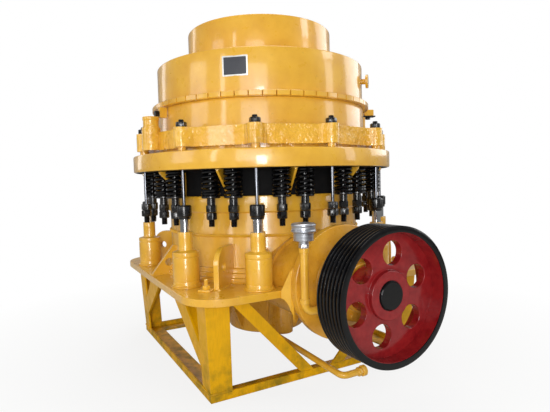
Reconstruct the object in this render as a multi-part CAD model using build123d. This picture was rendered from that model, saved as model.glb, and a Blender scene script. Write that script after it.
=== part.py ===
from build123d import *
from math import asin, cos, degrees, radians, sin, sqrt
import os

# Spring cone crusher on its welded stand. Millimetres, +Z up, origin on the floor under the
# vertical crushing axis. The countershaft points to -Y, and azimuths are measured from -Y to +X.

# Clearances and fits
FACE_GAP = 0.3
RUN_GAP = 5.0
ROD_GAP = 2.0
SHAFT_GAP = 0.05

# Welded stand
STAND_INSET = 92
STAND_LEAN = 28
STAND_H = 540
POST_W = 126
POST_TOP_W = 138
POST_T = 14
RAIL_W = 120
RAIL_H = 46
RAIL_T = 12
BRACE_W = 90
BRACE_TOP_W = 250
BRACE_T = 14
BRACE_MID = 50
BRACE_FOOT_Z = 150
BRACE_FOOT_H = 130
BRACE_BITE = 20

# Base plate and the casting under it
PLATE_REACH = 176
PLATE_CORNER_R = 220
PLATE_T = 41
TONGUE_HALF = 305
TONGUE_H = 130
TONGUE_T = 34
TONGUE_SHIFT = 34
HUB_R = 276
HUB_H = 435
HUB_ROUND = 20
BOWL_INSET = 146
BOWL_DROP = 150
HUB_CAP_R = 150
HUB_CAP_H = 30
HUB_RIB_T = 24
HUB_RIB_IN = 60
HUB_RIBS = 8
DRAIN_R = 75
DRAIN_IN = 46
DRAIN_DROP = 10

# Main frame drum and its flange
DRUM_R = 666
DRUM_WALL = 30
DRUM_H = 667
CHAMBER_DEPTH = 173
FOOT_STEP_H = 26
FOOT_STEP_W = 18
FOOT_STEPS = 3
BEAD_RISE = 266
BEAD_H = 12
BEAD_W = 8
BAND_T = 21
BAND_H = 96
BAND_DROP = 158
FLANGE_REACH = 234
FLANGE_LIP = 39
FLANGE_T = 107
FLANGE_EDGE = 10
RIB_T = 14
RIB_TIP_INSET = 55

# Twelve bolt stations and their springs
STATIONS = 12
BOLT_INSET = 50
TIE_BOLT_R = 15
SPRING_STANDOFF = 42
SPRING_CLEAR = 5.4
SPRING_R = 56
SPRING_WIRE = 18
SPRING_COILS = 6
SPRING_L = 151
SPRING_SEAT_R = 54
SPRING_SEAT_T = 14
SPRING_BOLT_R = 15
SPRING_NUT_R = 30
SPRING_NUT_H = 84
SPRING_NUT_DROP = 39
SPRING_STUD_H = 40
TIE_NUT_R = 33
TIE_NUT_H = 30
TIE_STUD_R = 16
TIE_STUD_H = 14

# Jacks beside the corners of the base plate
JACK_SPREAD = 15
JACK_LOW_R = 76
JACK_LOW_H = 200
JACK_TOP_R = 42
JACK_TOP_H = 114
JACK_FOOT_R = 88
JACK_FOOT_H = 8
ROD_R = 27
ROD_SUNK_H = 90
ROD_SHOWN = 72
COLLAR_R = 42
COLLAR_H = 80

# Lugs and gussets on the base plate
LUG_PROUD = 239
LUG_T = 32
LUG_H = 226
LUG_ROUND = 95
LUG_HOLE_R = 24
LUG_HOLE_Z = 118
LUG_HOLE_IN = 78
GUSSET_PROUD = 172
GUSSET_H = 185
GUSSET_TOP = 24
GUSSET_T = 28
GUSSET_HOLE_R = 26
HOLD_BOLT_INSET = 142
HOLD_TURN = 6
HOLD_PAD_W = 70
HOLD_PAD_T = 12
HOLD_NUT_R = 22
HOLD_NUT_H = 20
HOLD_STUD_R = 12
HOLD_STUD_H = 34

# Countershaft housing
SHAFT_RISE = 20
HOUSE_IN = 216
HOUSE_L = 234
HOUSE_WIDE = 385
HOUSE_HIGH = 235
HOUSE_R = 272
ARCH_T = 26
ARCH_SINK = 11
ARCH_WIDE = 341
ARCH_HIGH = 272
ENDPLATE_R = 322
ENDPLATE_T = 50
BEARING_R = 190
BEARING_H = 130
SEAL_R = 130
SEAL_H = 40
SHAFT_R = 55

# Sheave
SHEAVE_R = 345
SHEAVE_W = 186
SHEAVE_GAP = 54
GROOVES = 7
GROOVE_DEPTH = 16
GROOVE_TOP_W = 18
GROOVE_LOW_W = 9
RIM_T = 32
DISC_T = 44
DISC_SET = 30
DISC_HOLES = 6
DISC_HOLE_TURN = 15
DISC_HOLE_R = 61
DISC_HOLE_CIRCLE = 206
HUB_RING_R = 122
HUB_RING_H = 26
BUSH_R = 74
SHAFT_END = 12

# Breather and oil return
BREATHER_X = -322
BREATHER_OUT = 50
BREATHER_PIPE_R = 17
BREATHER_DROP = 108
BREATHER_H = 392
KNUCKLE = 1.25
CUP_R = 58
CUP_H = 96
CUP_NECK_R = 26
CUP_NECK_H = 22
OIL_RISE = 45
OIL_FALL = 64
OIL_SINK = 60
OIL_X = -166
OIL_OUT = 148
OIL_R = 16
OIL_STUB = 150
OIL_FIT_R = 26
OIL_FIT_H = 30

# Adjusting ring that rests on the frame flange
RING_LIFT = 24
RING_H = 110
RING_INSET = 64
RING_LEDGE = 66
RING_SEAT_H = 3
RING_FOOT_W = 34
BOSS_R = 44
BOSS_BACK = 64
BOSS_SPREAD = 40
SPACER_R = 24
PUSHER_STATIONS = [3, 9]
PUSHER_SHIFT = 8
PUSHER_OFF = 111
PUSHER_PAD_R = 57
PUSHER_PAD_H = 27
PUSHER_R = 50
PUSHER_H = 70
PAWL_W = 30
PAWL_OUT = 44
PAWL_IN = 34
LOCK_STATION = 2
LOCK_R = 24
LOCK_OFF = 31
LOCK_DROP = 13
LOCK_W = 56
LOCK_L = 70
LOCK_PLATE_L = 85
LOCK_PLATE_T = 9
LOCK_EDGE = 5

# Bowl, cap and hopper that turn in the adjusting ring
LOW_DRUM_OUT = 61
LOW_DRUM_H = 165
SKIRT_T = 57
SKIRT_DROP = 100
TOOTH_PROUD = 36
TOOTH_H = 31
CAP_INSET = 6
CAP_H = 252
CAP_WALL = 25
CAP_EDGE = 8
HOPPER_INSET = 218
HOPPER_WALL = 26
HOPPER_H = 257
THROAT_R = 345
TOOTH_IN = 80
THROAT_RISE = 13
LINER_T = 45
LINER_H = 505
LINER_GAP = 58
FUNNEL_T = 20
TRUNNION_AZIMUTH = 45
TRUNNION_DROP = 105
TRUNNION_R = 18
TRUNNION_H = 28
TRUNNION_HEAD_R = 45
TRUNNION_HEAD_H = 18
MARK_DROP = 105
MARK_W = 150
MARK_H = 116
MARK_T = 5
MARK_AZIMUTH = -39

# Crushing head
HEAD_GAP = 45
HEAD_LOW_H = 40
HEAD_H = 480
HEAD_TOP_R = 150
DISH_R = 190
DISH_T = 24

# Heights and distances that follow
STATION_STEP = 360 / STATIONS
PLATE_TOP = STAND_H + PLATE_T
SHAFT_Z = PLATE_TOP + SHAFT_RISE
HUB_LOW = STAND_H - HUB_H
FLANGE_LOW = PLATE_TOP + DRUM_H
FLANGE_TOP = FLANGE_LOW + FLANGE_T
CHAMBER_FLOOR = FLANGE_LOW - CHAMBER_DEPTH
BAND_TOP = FLANGE_LOW - BAND_DROP
BAND_R = DRUM_R + BAND_T
SPRING_LOW = FLANGE_LOW - SPRING_L
SPRING_NUT_TOP = SPRING_LOW - SPRING_SEAT_T - SPRING_NUT_DROP
JACK_TOP = PLATE_TOP + JACK_LOW_H + JACK_TOP_H
COLLAR_LOW = JACK_TOP + ROD_SHOWN
RING_LOW = FLANGE_TOP + RING_LIFT
RING_TOP = RING_LOW + RING_H
SEAT_Z = RING_LOW + RING_SEAT_H
FLANGE_R = DRUM_R + FLANGE_REACH
FLANGE_IN_R = DRUM_R + FLANGE_LIP
RIB_TIP_R = FLANGE_R - RIB_TIP_INSET
BOLT_CIRCLE = FLANGE_R - BOLT_INSET
SPRING_CIRCLE = BAND_R + SPRING_STANDOFF + SPRING_R
SPRING_SPREAD = STATION_STEP / 2 - degrees(asin((SPRING_R + RIB_T / 2 + SPRING_CLEAR) / SPRING_CIRCLE))
PLATE_HALF = DRUM_R + PLATE_REACH
STAND_TOP_HALF = PLATE_HALF - STAND_INSET
STAND_HALF = STAND_TOP_HALF - STAND_LEAN
LUG_REACH = DRUM_R + LUG_PROUD
GUSSET_REACH = DRUM_R + GUSSET_PROUD
HOLD_BOLT_X = PLATE_HALF - HOLD_BOLT_INSET
HOUSE_ROOT = DRUM_R - HOUSE_IN
HOUSE_OUT = DRUM_R + HOUSE_L
ARCH_NEAR = DRUM_R - ARCH_SINK
RING_R = FLANGE_R - RING_INSET
LOW_DRUM_R = DRUM_R + LOW_DRUM_OUT
RING_IN_R = LOW_DRUM_R + RUN_GAP
RING_SEAT_R = RING_IN_R - RING_LEDGE
RING_FOOT_R = RING_IN_R + RING_FOOT_W
TOOTH_R = LOW_DRUM_R + TOOTH_PROUD
CAP_R = LOW_DRUM_R - CAP_INSET
HOPPER_R = CAP_R - HOPPER_INSET
LINER_LOW_R = DRUM_R - DRUM_WALL - LINER_GAP - LINER_T
LINER_SLOPE = (LINER_LOW_R - THROAT_R) / LINER_H
HEAD_LOW_R = LINER_LOW_R - HEAD_GAP
BOWL_R = DRUM_R - BOWL_INSET
PUSHER_CIRCLE = LOW_DRUM_R + PUSHER_OFF
PUSHER_LOW = RING_TOP + PUSHER_PAD_H
LOCK_CIRCLE = LOW_DRUM_R + LOCK_OFF
LOCK_AZIMUTH = STATION_STEP * LOCK_STATION + PUSHER_SHIFT
PUSHER_TOP = PUSHER_LOW + PUSHER_H
LOW_DRUM_TOP = RING_TOP + LOW_DRUM_H
TOOTH_TOP = LOW_DRUM_TOP + TOOTH_H
CAP_TOP = TOOTH_TOP + CAP_H
HOPPER_TOP = CAP_TOP + HOPPER_H
THROAT_Z = LOW_DRUM_TOP + THROAT_RISE
LINER_LOW = THROAT_Z - LINER_H
SKIRT_LOW = SEAT_Z - SKIRT_DROP
SKIRT_R = THROAT_R + LINER_T + LINER_SLOPE * (THROAT_Z - SKIRT_LOW) + SKIRT_T
HOPPER_IN_R = HOPPER_R - HOPPER_WALL
HEAD_TOP = CHAMBER_FLOOR + HEAD_H
COVER_FACE = HOUSE_OUT + ENDPLATE_T + BEARING_H
SEAL_FACE = COVER_FACE + SEAL_H
SHEAVE_BACK = SEAL_FACE + SHEAVE_GAP
SHEAVE_FACE = SHEAVE_BACK + SHEAVE_W
RIM_R = SHEAVE_R - RIM_T
CORNER_AZIMUTHS = [45, 135, 225, 315]
SIDE_AZIMUTHS = [0, 90, 180, 270]
JACK_AZIMUTHS = [a + side * JACK_SPREAD for a in CORNER_AZIMUTHS for side in (-1, 1)]
STATION_AZIMUTHS = [STATION_STEP * k for k in range(STATIONS)]
SPRING_AZIMUTHS = [a + side * SPRING_SPREAD for a in STATION_AZIMUTHS for side in (-1, 1)]
PUSHER_AZIMUTHS = [STATION_STEP * k + PUSHER_SHIFT for k in PUSHER_STATIONS]
TRUNNION_AZIMUTHS = [TRUNNION_AZIMUTH, TRUNNION_AZIMUTH + 180]


def at(radius, azimuth, z=0.0):
    """Point at a radius and an azimuth from -Y towards +X."""
    a = radians(azimuth)
    return Vector(radius * sin(a), -radius * cos(a), z)


def rod(radius, low, high, centre=(0, 0)):
    """Upright cylinder between two heights."""
    return Pos(centre[0], centre[1], (low + high) / 2) * Cylinder(radius, high - low)


def rod_at(radius, low, high, circle, azimuth):
    """Upright cylinder on a circle about the crushing axis."""
    p = at(circle, azimuth)
    return rod(radius, low, high, (p.X, p.Y))


def tube(outer, inner, low, high):
    """Upright tube about the crushing axis."""
    return rod(outer, low, high) - rod(inner, low - 1, high + 1)


def turned(points):
    """Solid turned about the crushing axis from radius and height pairs."""
    profile = make_face(Polyline([(r, 0, z) for r, z in points], close=True))
    return revolve(profile, Axis.Z, 360)


def box(low, high):
    """Box between two corners."""
    size = [h - l for l, h in zip(low, high)]
    centre = [(h + l) / 2 for l, h in zip(low, high)]
    return Pos(*centre) * Box(*size)


def flat(points, z):
    """Face at a height from X and Y pairs."""
    return make_face(Polyline([(x, y, z) for x, y in points], close=True))


def slab(points, plane_origin, normal, x_dir, thickness):
    """Flat plate cut to an outline on a plane, centred on that plane."""
    plane = Plane(origin=plane_origin, x_dir=x_dir, z_dir=normal)
    outline = make_face(Polyline([plane.from_local_coords(p) for p in points], close=True))
    return extrude(outline, thickness / 2, dir=plane.z_dir, both=True)


def radial_slab(points, azimuth, thickness):
    """Upright plate in the radial plane at an azimuth, outlined by radius and height pairs."""
    return slab(points, (0, 0, 0), across(azimuth), at(1, azimuth), thickness)


def across(azimuth):
    """Level direction at right angles to the radius at an azimuth."""
    return at(1, azimuth).cross(Vector(0, 0, 1))


def along(radius, near, far):
    """Cylinder along the countershaft, between two distances from the crushing axis."""
    return Pos(0, -(near + far) / 2, SHAFT_Z) * Rot(90, 0, 0) * Cylinder(radius, far - near)


def joined(solids):
    """Separate or fused solids gathered in one shape."""
    first, *rest = solids
    for solid in rest:
        first = first + solid
    return first


def save(name, shape):
    """Write one sub-part."""
    export_step(shape, f"parts/{name}.step")


# Stand: corner posts, base rails and inclined braces
def angle_section(half, width, z):
    """Level section of a post, an angle with its heel at a corner of the stand."""
    heel, toe = half - POST_T, half - width
    return flat([(half, half), (toe, half), (toe, heel), (heel, heel), (heel, toe), (half, toe)], z)


def stand_post(sx, sy):
    """Corner post that leans outwards and broadens towards the base plate."""
    post = loft([angle_section(STAND_HALF, POST_W, RAIL_H),
                 angle_section(STAND_TOP_HALF, POST_TOP_W, STAND_H)], ruled=True)
    if sx < 0:
        post = mirror(post, Plane.YZ)
    if sy < 0:
        post = mirror(post, Plane.XZ)
    return post


def stand_posts():
    """The four corner posts."""
    return joined([stand_post(sx, sy) for sx in (-1, 1) for sy in (-1, 1)])


def stand_rail(side):
    """Base rail along one side, an angle with its low upright leg outside and mitred ends."""
    h, inside = STAND_HALF, STAND_HALF - RAIL_W
    corner = h - RAIL_T
    sole = extrude(flat([(-h, -h), (h, -h), (inside, -inside), (-inside, -inside)], 0), RAIL_T,
                   dir=(0, 0, 1))
    lip = extrude(flat([(-h, -h), (h, -h), (corner, -corner), (-corner, -corner)], 0), RAIL_H,
                  dir=(0, 0, 1))
    return Rot(0, 0, side) * (sole + lip)


def stand_rails():
    """The four base rails, each its own solid."""
    return Compound([rail for side in SIDE_AZIMUTHS for rail in stand_rail(side).solids()])


def stand_braces(side, outline):
    """Two inclined plates on one side of the stand, in the leaning plane of its posts."""
    rise, run = STAND_H - RAIL_H, STAND_TOP_HALF - STAND_HALF
    normal = Vector(0, -rise, -run).normalized()
    origin = Vector(0, -STAND_HALF, RAIL_H) - normal * (BRACE_T / 2)
    stretch = sqrt(rise * rise + run * run) / rise
    posts = stand_post(1, -1) + stand_post(-1, -1)
    arms = []
    for s in (-1, 1):
        points = [(s * u, (z - RAIL_H) * stretch) for u, z in outline]
        arms.append(slab(points, origin, normal, (1, 0, 0), BRACE_T))
    span = box((-STAND_TOP_HALF, -PLATE_HALF, RAIL_H), (STAND_TOP_HALF, 0, STAND_H))
    return Rot(0, 0, side) * ((joined(arms) & span) - posts)


def tall_outline():
    """Outline of a brace from the foot of a post up to the middle of the base plate."""
    post = STAND_HALF - POST_W + BRACE_BITE
    return [(post, BRACE_FOOT_Z), (post, BRACE_FOOT_Z + BRACE_FOOT_H),
            (BRACE_MID + BRACE_TOP_W, STAND_H + BRACE_BITE), (BRACE_MID, STAND_H + BRACE_BITE)]


def vee_outline():
    """Outline of a brace from the top of a post down to the middle of the base rail."""
    post = STAND_TOP_HALF - POST_TOP_W + BRACE_BITE
    return [(post, STAND_H + BRACE_BITE), (post - BRACE_W, STAND_H + BRACE_BITE),
            (BRACE_MID, RAIL_H - BRACE_BITE), (BRACE_MID + BRACE_W, RAIL_H - BRACE_BITE)]


# Base plate and lower casting
def housing_loft():
    """Countershaft housing, wide where it leaves the drum and round at its outer end."""
    root = Plane(origin=(0, -HOUSE_ROOT, SHAFT_Z), x_dir=(1, 0, 0), z_dir=(0, -1, 0))
    tip = Plane(origin=(0, -HOUSE_OUT, SHAFT_Z), x_dir=(1, 0, 0), z_dir=(0, -1, 0))
    return loft([root * Ellipse(HOUSE_WIDE, HOUSE_HIGH), tip * Circle(HOUSE_R)])


def base_plate():
    """Square plate with rounded corners, let out round the countershaft housing."""
    outline = Pos(0, 0, STAND_H) * RectangleRounded(2 * PLATE_HALF, 2 * PLATE_HALF, PLATE_CORNER_R)
    return extrude(outline, PLATE_T) - housing_loft()


def plate_webs():
    """Two flared webs that carry the edge of the base plate on to the end flange."""
    webs = []
    reach = HOUSE_OUT - PLATE_HALF
    for s in (-1, 1):
        start = Vector(s * (TONGUE_HALF + TONGUE_SHIFT), -PLATE_HALF, 0)
        end = Vector(s * TONGUE_HALF, -PLATE_HALF - reach, 0)
        run = end - start
        upper = [(run.length * (1 - cos(radians(t))), PLATE_TOP + TONGUE_H * (1 - cos(radians(t))))
                 for t in range(0, 91, 15)]
        lower = [(run.length * sin(radians(t)), STAND_H - TONGUE_H * (1 - cos(radians(t))))
                 for t in range(90, -1, -15)]
        webs.append(slab(upper + lower, start, run.cross(Vector(0, 0, 1)).normalized(),
                         run.normalized(), TONGUE_T))
    keep = box((-PLATE_HALF, -HOUSE_OUT, 0), (PLATE_HALF, -PLATE_HALF, FLANGE_LOW))
    return (joined(webs) & keep) - housing_loft()


def frame_bottom():
    """Casting below the plate: a shallow bowl, a ribbed hub, a small cover and the oil drain boss."""
    low = HUB_LOW + HUB_CAP_H
    body = turned([(0, low), (HUB_R - HUB_ROUND, low), (HUB_R - HUB_ROUND / 3, low + HUB_ROUND / 3),
                   (HUB_R, low + HUB_ROUND), (HUB_R, STAND_H - BOWL_DROP), (BOWL_R, STAND_H), (0, STAND_H)])
    for k in range(HUB_RIBS):
        body += radial_slab([(HUB_R - HUB_ROUND, low + HUB_ROUND), (HUB_R, low + HUB_ROUND),
                             (BOWL_R - HUB_RIB_IN, STAND_H), (HUB_R - HUB_ROUND, STAND_H)],
                            360 * (k + 0.5) / HUB_RIBS, HUB_RIB_T)
    body += rod(HUB_CAP_R, HUB_LOW, low)
    body += rod(DRAIN_R, low - DRAIN_DROP, STAND_H - BOWL_DROP, (0, DRAIN_IN - HUB_R))
    return body - housing_loft()


def drum_skin():
    """Solid to the outside of the drum, with the steps at its foot and its bead."""
    bead_z = PLATE_TOP + BEAD_RISE
    profile = [(0, PLATE_TOP)]
    for k in range(FOOT_STEPS):
        r = DRUM_R + FOOT_STEP_W * (FOOT_STEPS - k)
        profile += [(r, PLATE_TOP + FOOT_STEP_H * k), (r, PLATE_TOP + FOOT_STEP_H * (k + 1))]
    profile += [(DRUM_R, PLATE_TOP + FOOT_STEP_H * FOOT_STEPS), (DRUM_R, bead_z),
                (DRUM_R + BEAD_W, bead_z + BEAD_H / 2), (DRUM_R, bead_z + BEAD_H),
                (DRUM_R, CHAMBER_FLOOR), (0, CHAMBER_FLOOR)]
    return turned(profile)


def main_frame():
    """Drum of the main frame up to the floor of the crushing chamber."""
    return drum_skin() - housing_loft()


def chamber_wall():
    """Upper part of the drum, the wall round the crushing chamber."""
    return tube(DRUM_R, DRUM_R - DRUM_WALL, CHAMBER_FLOOR, FLANGE_LOW)


def frame_band():
    """Stiffening band round the drum below the springs."""
    return tube(BAND_R, DRUM_R, BAND_TOP - BAND_H, BAND_TOP)


def frame_flange():
    """Broad flange that carries the adjusting ring, drilled for the bolts."""
    inner = DRUM_R - DRUM_WALL
    edge = FLANGE_EDGE
    ring = turned([(inner, FLANGE_LOW), (FLANGE_R - edge, FLANGE_LOW), (FLANGE_R, FLANGE_LOW + edge),
                   (FLANGE_R, FLANGE_TOP - edge), (FLANGE_R - edge, FLANGE_TOP),
                   (FLANGE_IN_R, FLANGE_TOP), (FLANGE_IN_R, FLANGE_LOW + edge),
                   (inner, FLANGE_LOW + edge)])
    holes = [rod_at(TIE_BOLT_R + ROD_GAP, FLANGE_LOW - 1, FLANGE_TOP + 1, BOLT_CIRCLE, a)
             for a in STATION_AZIMUTHS]
    holes += [rod_at(SPRING_BOLT_R + ROD_GAP, FLANGE_LOW - 1, FLANGE_TOP + 1, SPRING_CIRCLE, a)
              for a in SPRING_AZIMUTHS]
    return ring - holes


def flange_ribs():
    """Triangular webs between the drum and the flange, midway between the stations."""
    return joined([radial_slab([(BAND_R, BAND_TOP), (DRUM_R - RIB_T, BAND_TOP), (DRUM_R - RIB_T, FLANGE_LOW),
                                (RIB_TIP_R, FLANGE_LOW), (RIB_TIP_R, FLANGE_LOW - RIB_T)],
                               a + STATION_STEP / 2, RIB_T) - rod(DRUM_R, BAND_TOP - 1, FLANGE_LOW)
                   for a in STATION_AZIMUTHS])


def lifting_lugs():
    """Four upright plates on the corners of the base plate, each with a lifting eye."""
    top = PLATE_TOP + LUG_H
    lugs = []
    for a in CORNER_AZIMUTHS:
        arc = [(LUG_REACH - LUG_ROUND + LUG_ROUND * sin(radians(t)),
                top - LUG_ROUND + LUG_ROUND * cos(radians(t))) for t in range(0, 91, 15)]
        web = radial_slab([(DRUM_R - LUG_T, PLATE_TOP), (DRUM_R - LUG_T, top)] + arc
                          + [(LUG_REACH, PLATE_TOP)], a, LUG_T)
        eye = Plane(origin=at(LUG_REACH - LUG_HOLE_IN, a, PLATE_TOP + LUG_HOLE_Z), z_dir=across(a))
        lugs.append(web - eye * Cylinder(LUG_HOLE_R, LUG_T * 3) - drum_skin())
    return joined(lugs)


def side_gussets():
    """Three sloping webs between the drum and the plate, midway along its sides."""
    webs = []
    for a in SIDE_AZIMUTHS[1:]:
        web = radial_slab([(DRUM_R - GUSSET_T, PLATE_TOP), (DRUM_R - GUSSET_T, PLATE_TOP + GUSSET_H),
                           (DRUM_R + GUSSET_TOP, PLATE_TOP + GUSSET_H), (GUSSET_REACH, PLATE_TOP)],
                          a, GUSSET_T)
        corner = at(DRUM_R + FOOT_STEP_W * FOOT_STEPS, a, PLATE_TOP + FOOT_STEP_H * FOOT_STEPS)
        notch = Plane(origin=corner, z_dir=across(a)) * Cylinder(GUSSET_HOLE_R, GUSSET_T * 3)
        webs.append(web - notch - drum_skin())
    return joined(webs)


def hold_down_bolts():
    """Four pads with a nut and a stud near the corners of the base plate."""
    pads = []
    for a in CORNER_AZIMUTHS:
        p = at(HOLD_BOLT_X * sqrt(2), a + HOLD_TURN)
        nut_low = PLATE_TOP + HOLD_PAD_T
        stud_top = nut_low + HOLD_NUT_H + HOLD_STUD_H
        pad = Pos(p.X, p.Y, PLATE_TOP + HOLD_PAD_T / 2) * Rot(0, 0, a) * Box(HOLD_PAD_W, HOLD_PAD_W,
                                                                           HOLD_PAD_T)
        nut = Pos(p.X, p.Y, nut_low) * extrude(RegularPolygon(HOLD_NUT_R, 6), HOLD_NUT_H)
        pads.append(pad + nut + rod(HOLD_STUD_R, nut_low + HOLD_NUT_H, stud_top, (p.X, p.Y)))
    return joined(pads)


def jack_barrels():
    """Eight two-step jack barrels standing on the base plate, bored for their rods."""
    step = PLATE_TOP + JACK_LOW_H
    barrels = []
    for a in JACK_AZIMUTHS:
        barrel = rod_at(JACK_FOOT_R, PLATE_TOP, PLATE_TOP + JACK_FOOT_H, BOLT_CIRCLE, a)
        barrel += rod_at(JACK_LOW_R, PLATE_TOP, step, BOLT_CIRCLE, a)
        barrel += rod_at(JACK_TOP_R, step, JACK_TOP, BOLT_CIRCLE, a)
        bore = rod_at(ROD_R + ROD_GAP, JACK_TOP - ROD_SUNK_H - RUN_GAP, JACK_TOP + 1, BOLT_CIRCLE, a)
        barrels.append(barrel - bore)
    return joined(barrels)


# Countershaft housing, sheave and small fittings
def countershaft_housing():
    """Housing of the countershaft outside the drum and the lower casting, with its arched rib."""
    arch = Plane(origin=(0, -ARCH_NEAR, SHAFT_Z), x_dir=(1, 0, 0), z_dir=(0, -1, 0))
    rib = extrude(arch * Ellipse(ARCH_WIDE, ARCH_HIGH), ARCH_T)
    rib = rib & box((-ARCH_WIDE, -HOUSE_OUT, PLATE_TOP), (ARCH_WIDE, 0, FLANGE_LOW))
    return housing_loft() + (rib - drum_skin() - housing_loft())


def countershaft_endplate():
    """Round end flange and bearing cover of the countershaft, bored for the shaft."""
    plate = along(ENDPLATE_R, HOUSE_OUT, HOUSE_OUT + ENDPLATE_T)
    cover = along(BEARING_R, HOUSE_OUT + ENDPLATE_T, COVER_FACE)
    bore = along(SHAFT_R + SHAFT_GAP, HOUSE_OUT + ENDPLATE_T, SEAL_FACE + 1)
    return plate + cover + along(SEAL_R, COVER_FACE, SEAL_FACE) - bore


def countershaft():
    """Shaft from inside the bearing to just past the sheave hub."""
    return along(SHAFT_R, HOUSE_OUT + ENDPLATE_T + RUN_GAP, SHEAVE_FACE - SHAFT_END)


def sheave_rim():
    """Grooved rim of the driving sheave."""
    pitch = SHEAVE_W / GROOVES
    low = SHEAVE_R - GROOVE_DEPTH
    profile = [(RIM_R, SHEAVE_BACK), (SHEAVE_R, SHEAVE_BACK)]
    for k in range(GROOVES):
        mid = SHEAVE_BACK + pitch * (k + 0.5)
        profile += [(SHEAVE_R, mid - GROOVE_TOP_W / 2), (low, mid - GROOVE_LOW_W / 2),
                    (low, mid + GROOVE_LOW_W / 2), (SHEAVE_R, mid + GROOVE_TOP_W / 2)]
    profile += [(SHEAVE_R, SHEAVE_FACE), (RIM_R, SHEAVE_FACE)]
    face = make_face(Polyline([(0, -d, SHAFT_Z + r) for r, d in profile], close=True))
    return revolve(face, Axis((0, 0, SHAFT_Z), (0, 1, 0)), 360)


def sheave_disc():
    """Web of the sheave with its round windows and its hub ring."""
    front = SHEAVE_FACE - DISC_SET
    disc = along(RIM_R, front - DISC_T, front) + along(HUB_RING_R, SHEAVE_BACK, front + HUB_RING_H)
    for k in range(DISC_HOLES):
        t = radians(360 * k / DISC_HOLES + DISC_HOLE_TURN)
        window = along(DISC_HOLE_R, front - DISC_T - 1, front + 1)
        disc -= Pos(DISC_HOLE_CIRCLE * sin(t), 0, DISC_HOLE_CIRCLE * cos(t)) * window
    return disc - along(BUSH_R, SHEAVE_BACK - 1, SHEAVE_FACE + 1)


def sheave_bush():
    """Taper bush between the shaft and the hub."""
    front = SHEAVE_FACE - DISC_SET + HUB_RING_H
    return along(BUSH_R, SHEAVE_BACK, front) - along(SHAFT_R, SHEAVE_BACK - 1, front + 1)


def breather_pipe():
    """Standpipe of the breather and its elbow into the bearing cover."""
    low = SHAFT_Z - BREATHER_DROP
    y = -(HOUSE_OUT + ENDPLATE_T + BREATHER_OUT)
    pipe = rod(BREATHER_PIPE_R, low, low + BREATHER_H - CUP_NECK_H, (BREATHER_X, y))
    knuckle = Pos(BREATHER_X, y, low) * Sphere(BREATHER_PIPE_R * KNUCKLE)
    nipple = Pos(BREATHER_X / 2, y, low) * Rot(0, 90, 0) * Cylinder(BREATHER_PIPE_R, -BREATHER_X)
    return pipe + knuckle + nipple - along(BEARING_R, HOUSE_OUT, COVER_FACE)


def breather_cup():
    """Metal breather cup on a short neck."""
    cup_z = SHAFT_Z - BREATHER_DROP + BREATHER_H
    low = cup_z - CUP_NECK_H
    cup = turned([(0, low), (CUP_NECK_R, low), (CUP_NECK_R, cup_z), (CUP_R * 0.78, cup_z),
                  (CUP_R * 0.84, cup_z + CUP_H * 0.45), (CUP_R, cup_z + CUP_H * 0.5),
                  (CUP_R, cup_z + CUP_H * 0.9), (CUP_R * 0.9, cup_z + CUP_H), (0, cup_z + CUP_H)])
    return Pos(BREATHER_X, -(HOUSE_OUT + ENDPLATE_T + BREATHER_OUT), 0) * cup


def oil_pipe():
    """Oil return pipe from the hub to its elbow and end fitting."""
    z = HUB_LOW + OIL_RISE
    start = Vector(0, -HUB_R + OIL_SINK, z + OIL_FALL)
    elbow = Vector(OIL_X, -HOUSE_OUT - OIL_OUT, z)
    run = elbow - start
    pipe = Plane(origin=start + run * 0.5, z_dir=run.normalized()) * Cylinder(OIL_R, run.length)
    stub = Pos(OIL_X + OIL_STUB / 2, elbow.Y, z) * Rot(0, 90, 0) * Cylinder(OIL_R, OIL_STUB)
    nut = Rot(0, 90, 0) * Cylinder(OIL_FIT_R, OIL_FIT_H)
    fitting = Pos(OIL_X + OIL_STUB + OIL_FIT_H / 2, elbow.Y, z) * nut
    knuckle = Pos(elbow.X, elbow.Y, z) * Sphere(OIL_R * KNUCKLE)
    return pipe + knuckle + stub + fitting - frame_bottom()


# Adjusting ring and what lifts with it
def adjusting_ring():
    """Twelve-sided ring with a boss at each bolt, resting on the flange by its foot."""
    body = Pos(0, 0, RING_LOW) * extrude(RegularPolygon(RING_R, STATIONS), RING_H)
    for a in STATION_AZIMUTHS:
        body += rod_at(BOSS_R, RING_LOW, RING_TOP, BOLT_CIRCLE, a)
        back = BOSS_R + BOSS_SPREAD
        shoulder = flat([(-BOSS_R, -BOLT_CIRCLE), (BOSS_R, -BOLT_CIRCLE),
                         (back, -BOLT_CIRCLE + BOSS_BACK), (-back, -BOLT_CIRCLE + BOSS_BACK)], RING_LOW)
        body += Rot(0, 0, a) * extrude(shoulder, RING_TOP - RING_LOW, dir=(0, 0, 1))
        body += rod_at(SPACER_R, FLANGE_TOP + FACE_GAP, RING_LOW, BOLT_CIRCLE, a)
    for a in PUSHER_AZIMUTHS:
        body += rod_at(PUSHER_PAD_R, RING_LOW, RING_TOP + PUSHER_PAD_H, PUSHER_CIRCLE, a)
    body += rod(RING_FOOT_R, FLANGE_TOP + FACE_GAP, RING_LOW)
    body = body - rod(RING_IN_R, SEAT_Z, PUSHER_TOP) - rod(RING_SEAT_R, FLANGE_TOP - 1, SEAT_Z + 1)
    return body - [rod_at(TIE_BOLT_R, FLANGE_TOP, RING_TOP + 1, BOLT_CIRCLE, a) for a in STATION_AZIMUTHS]


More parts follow.
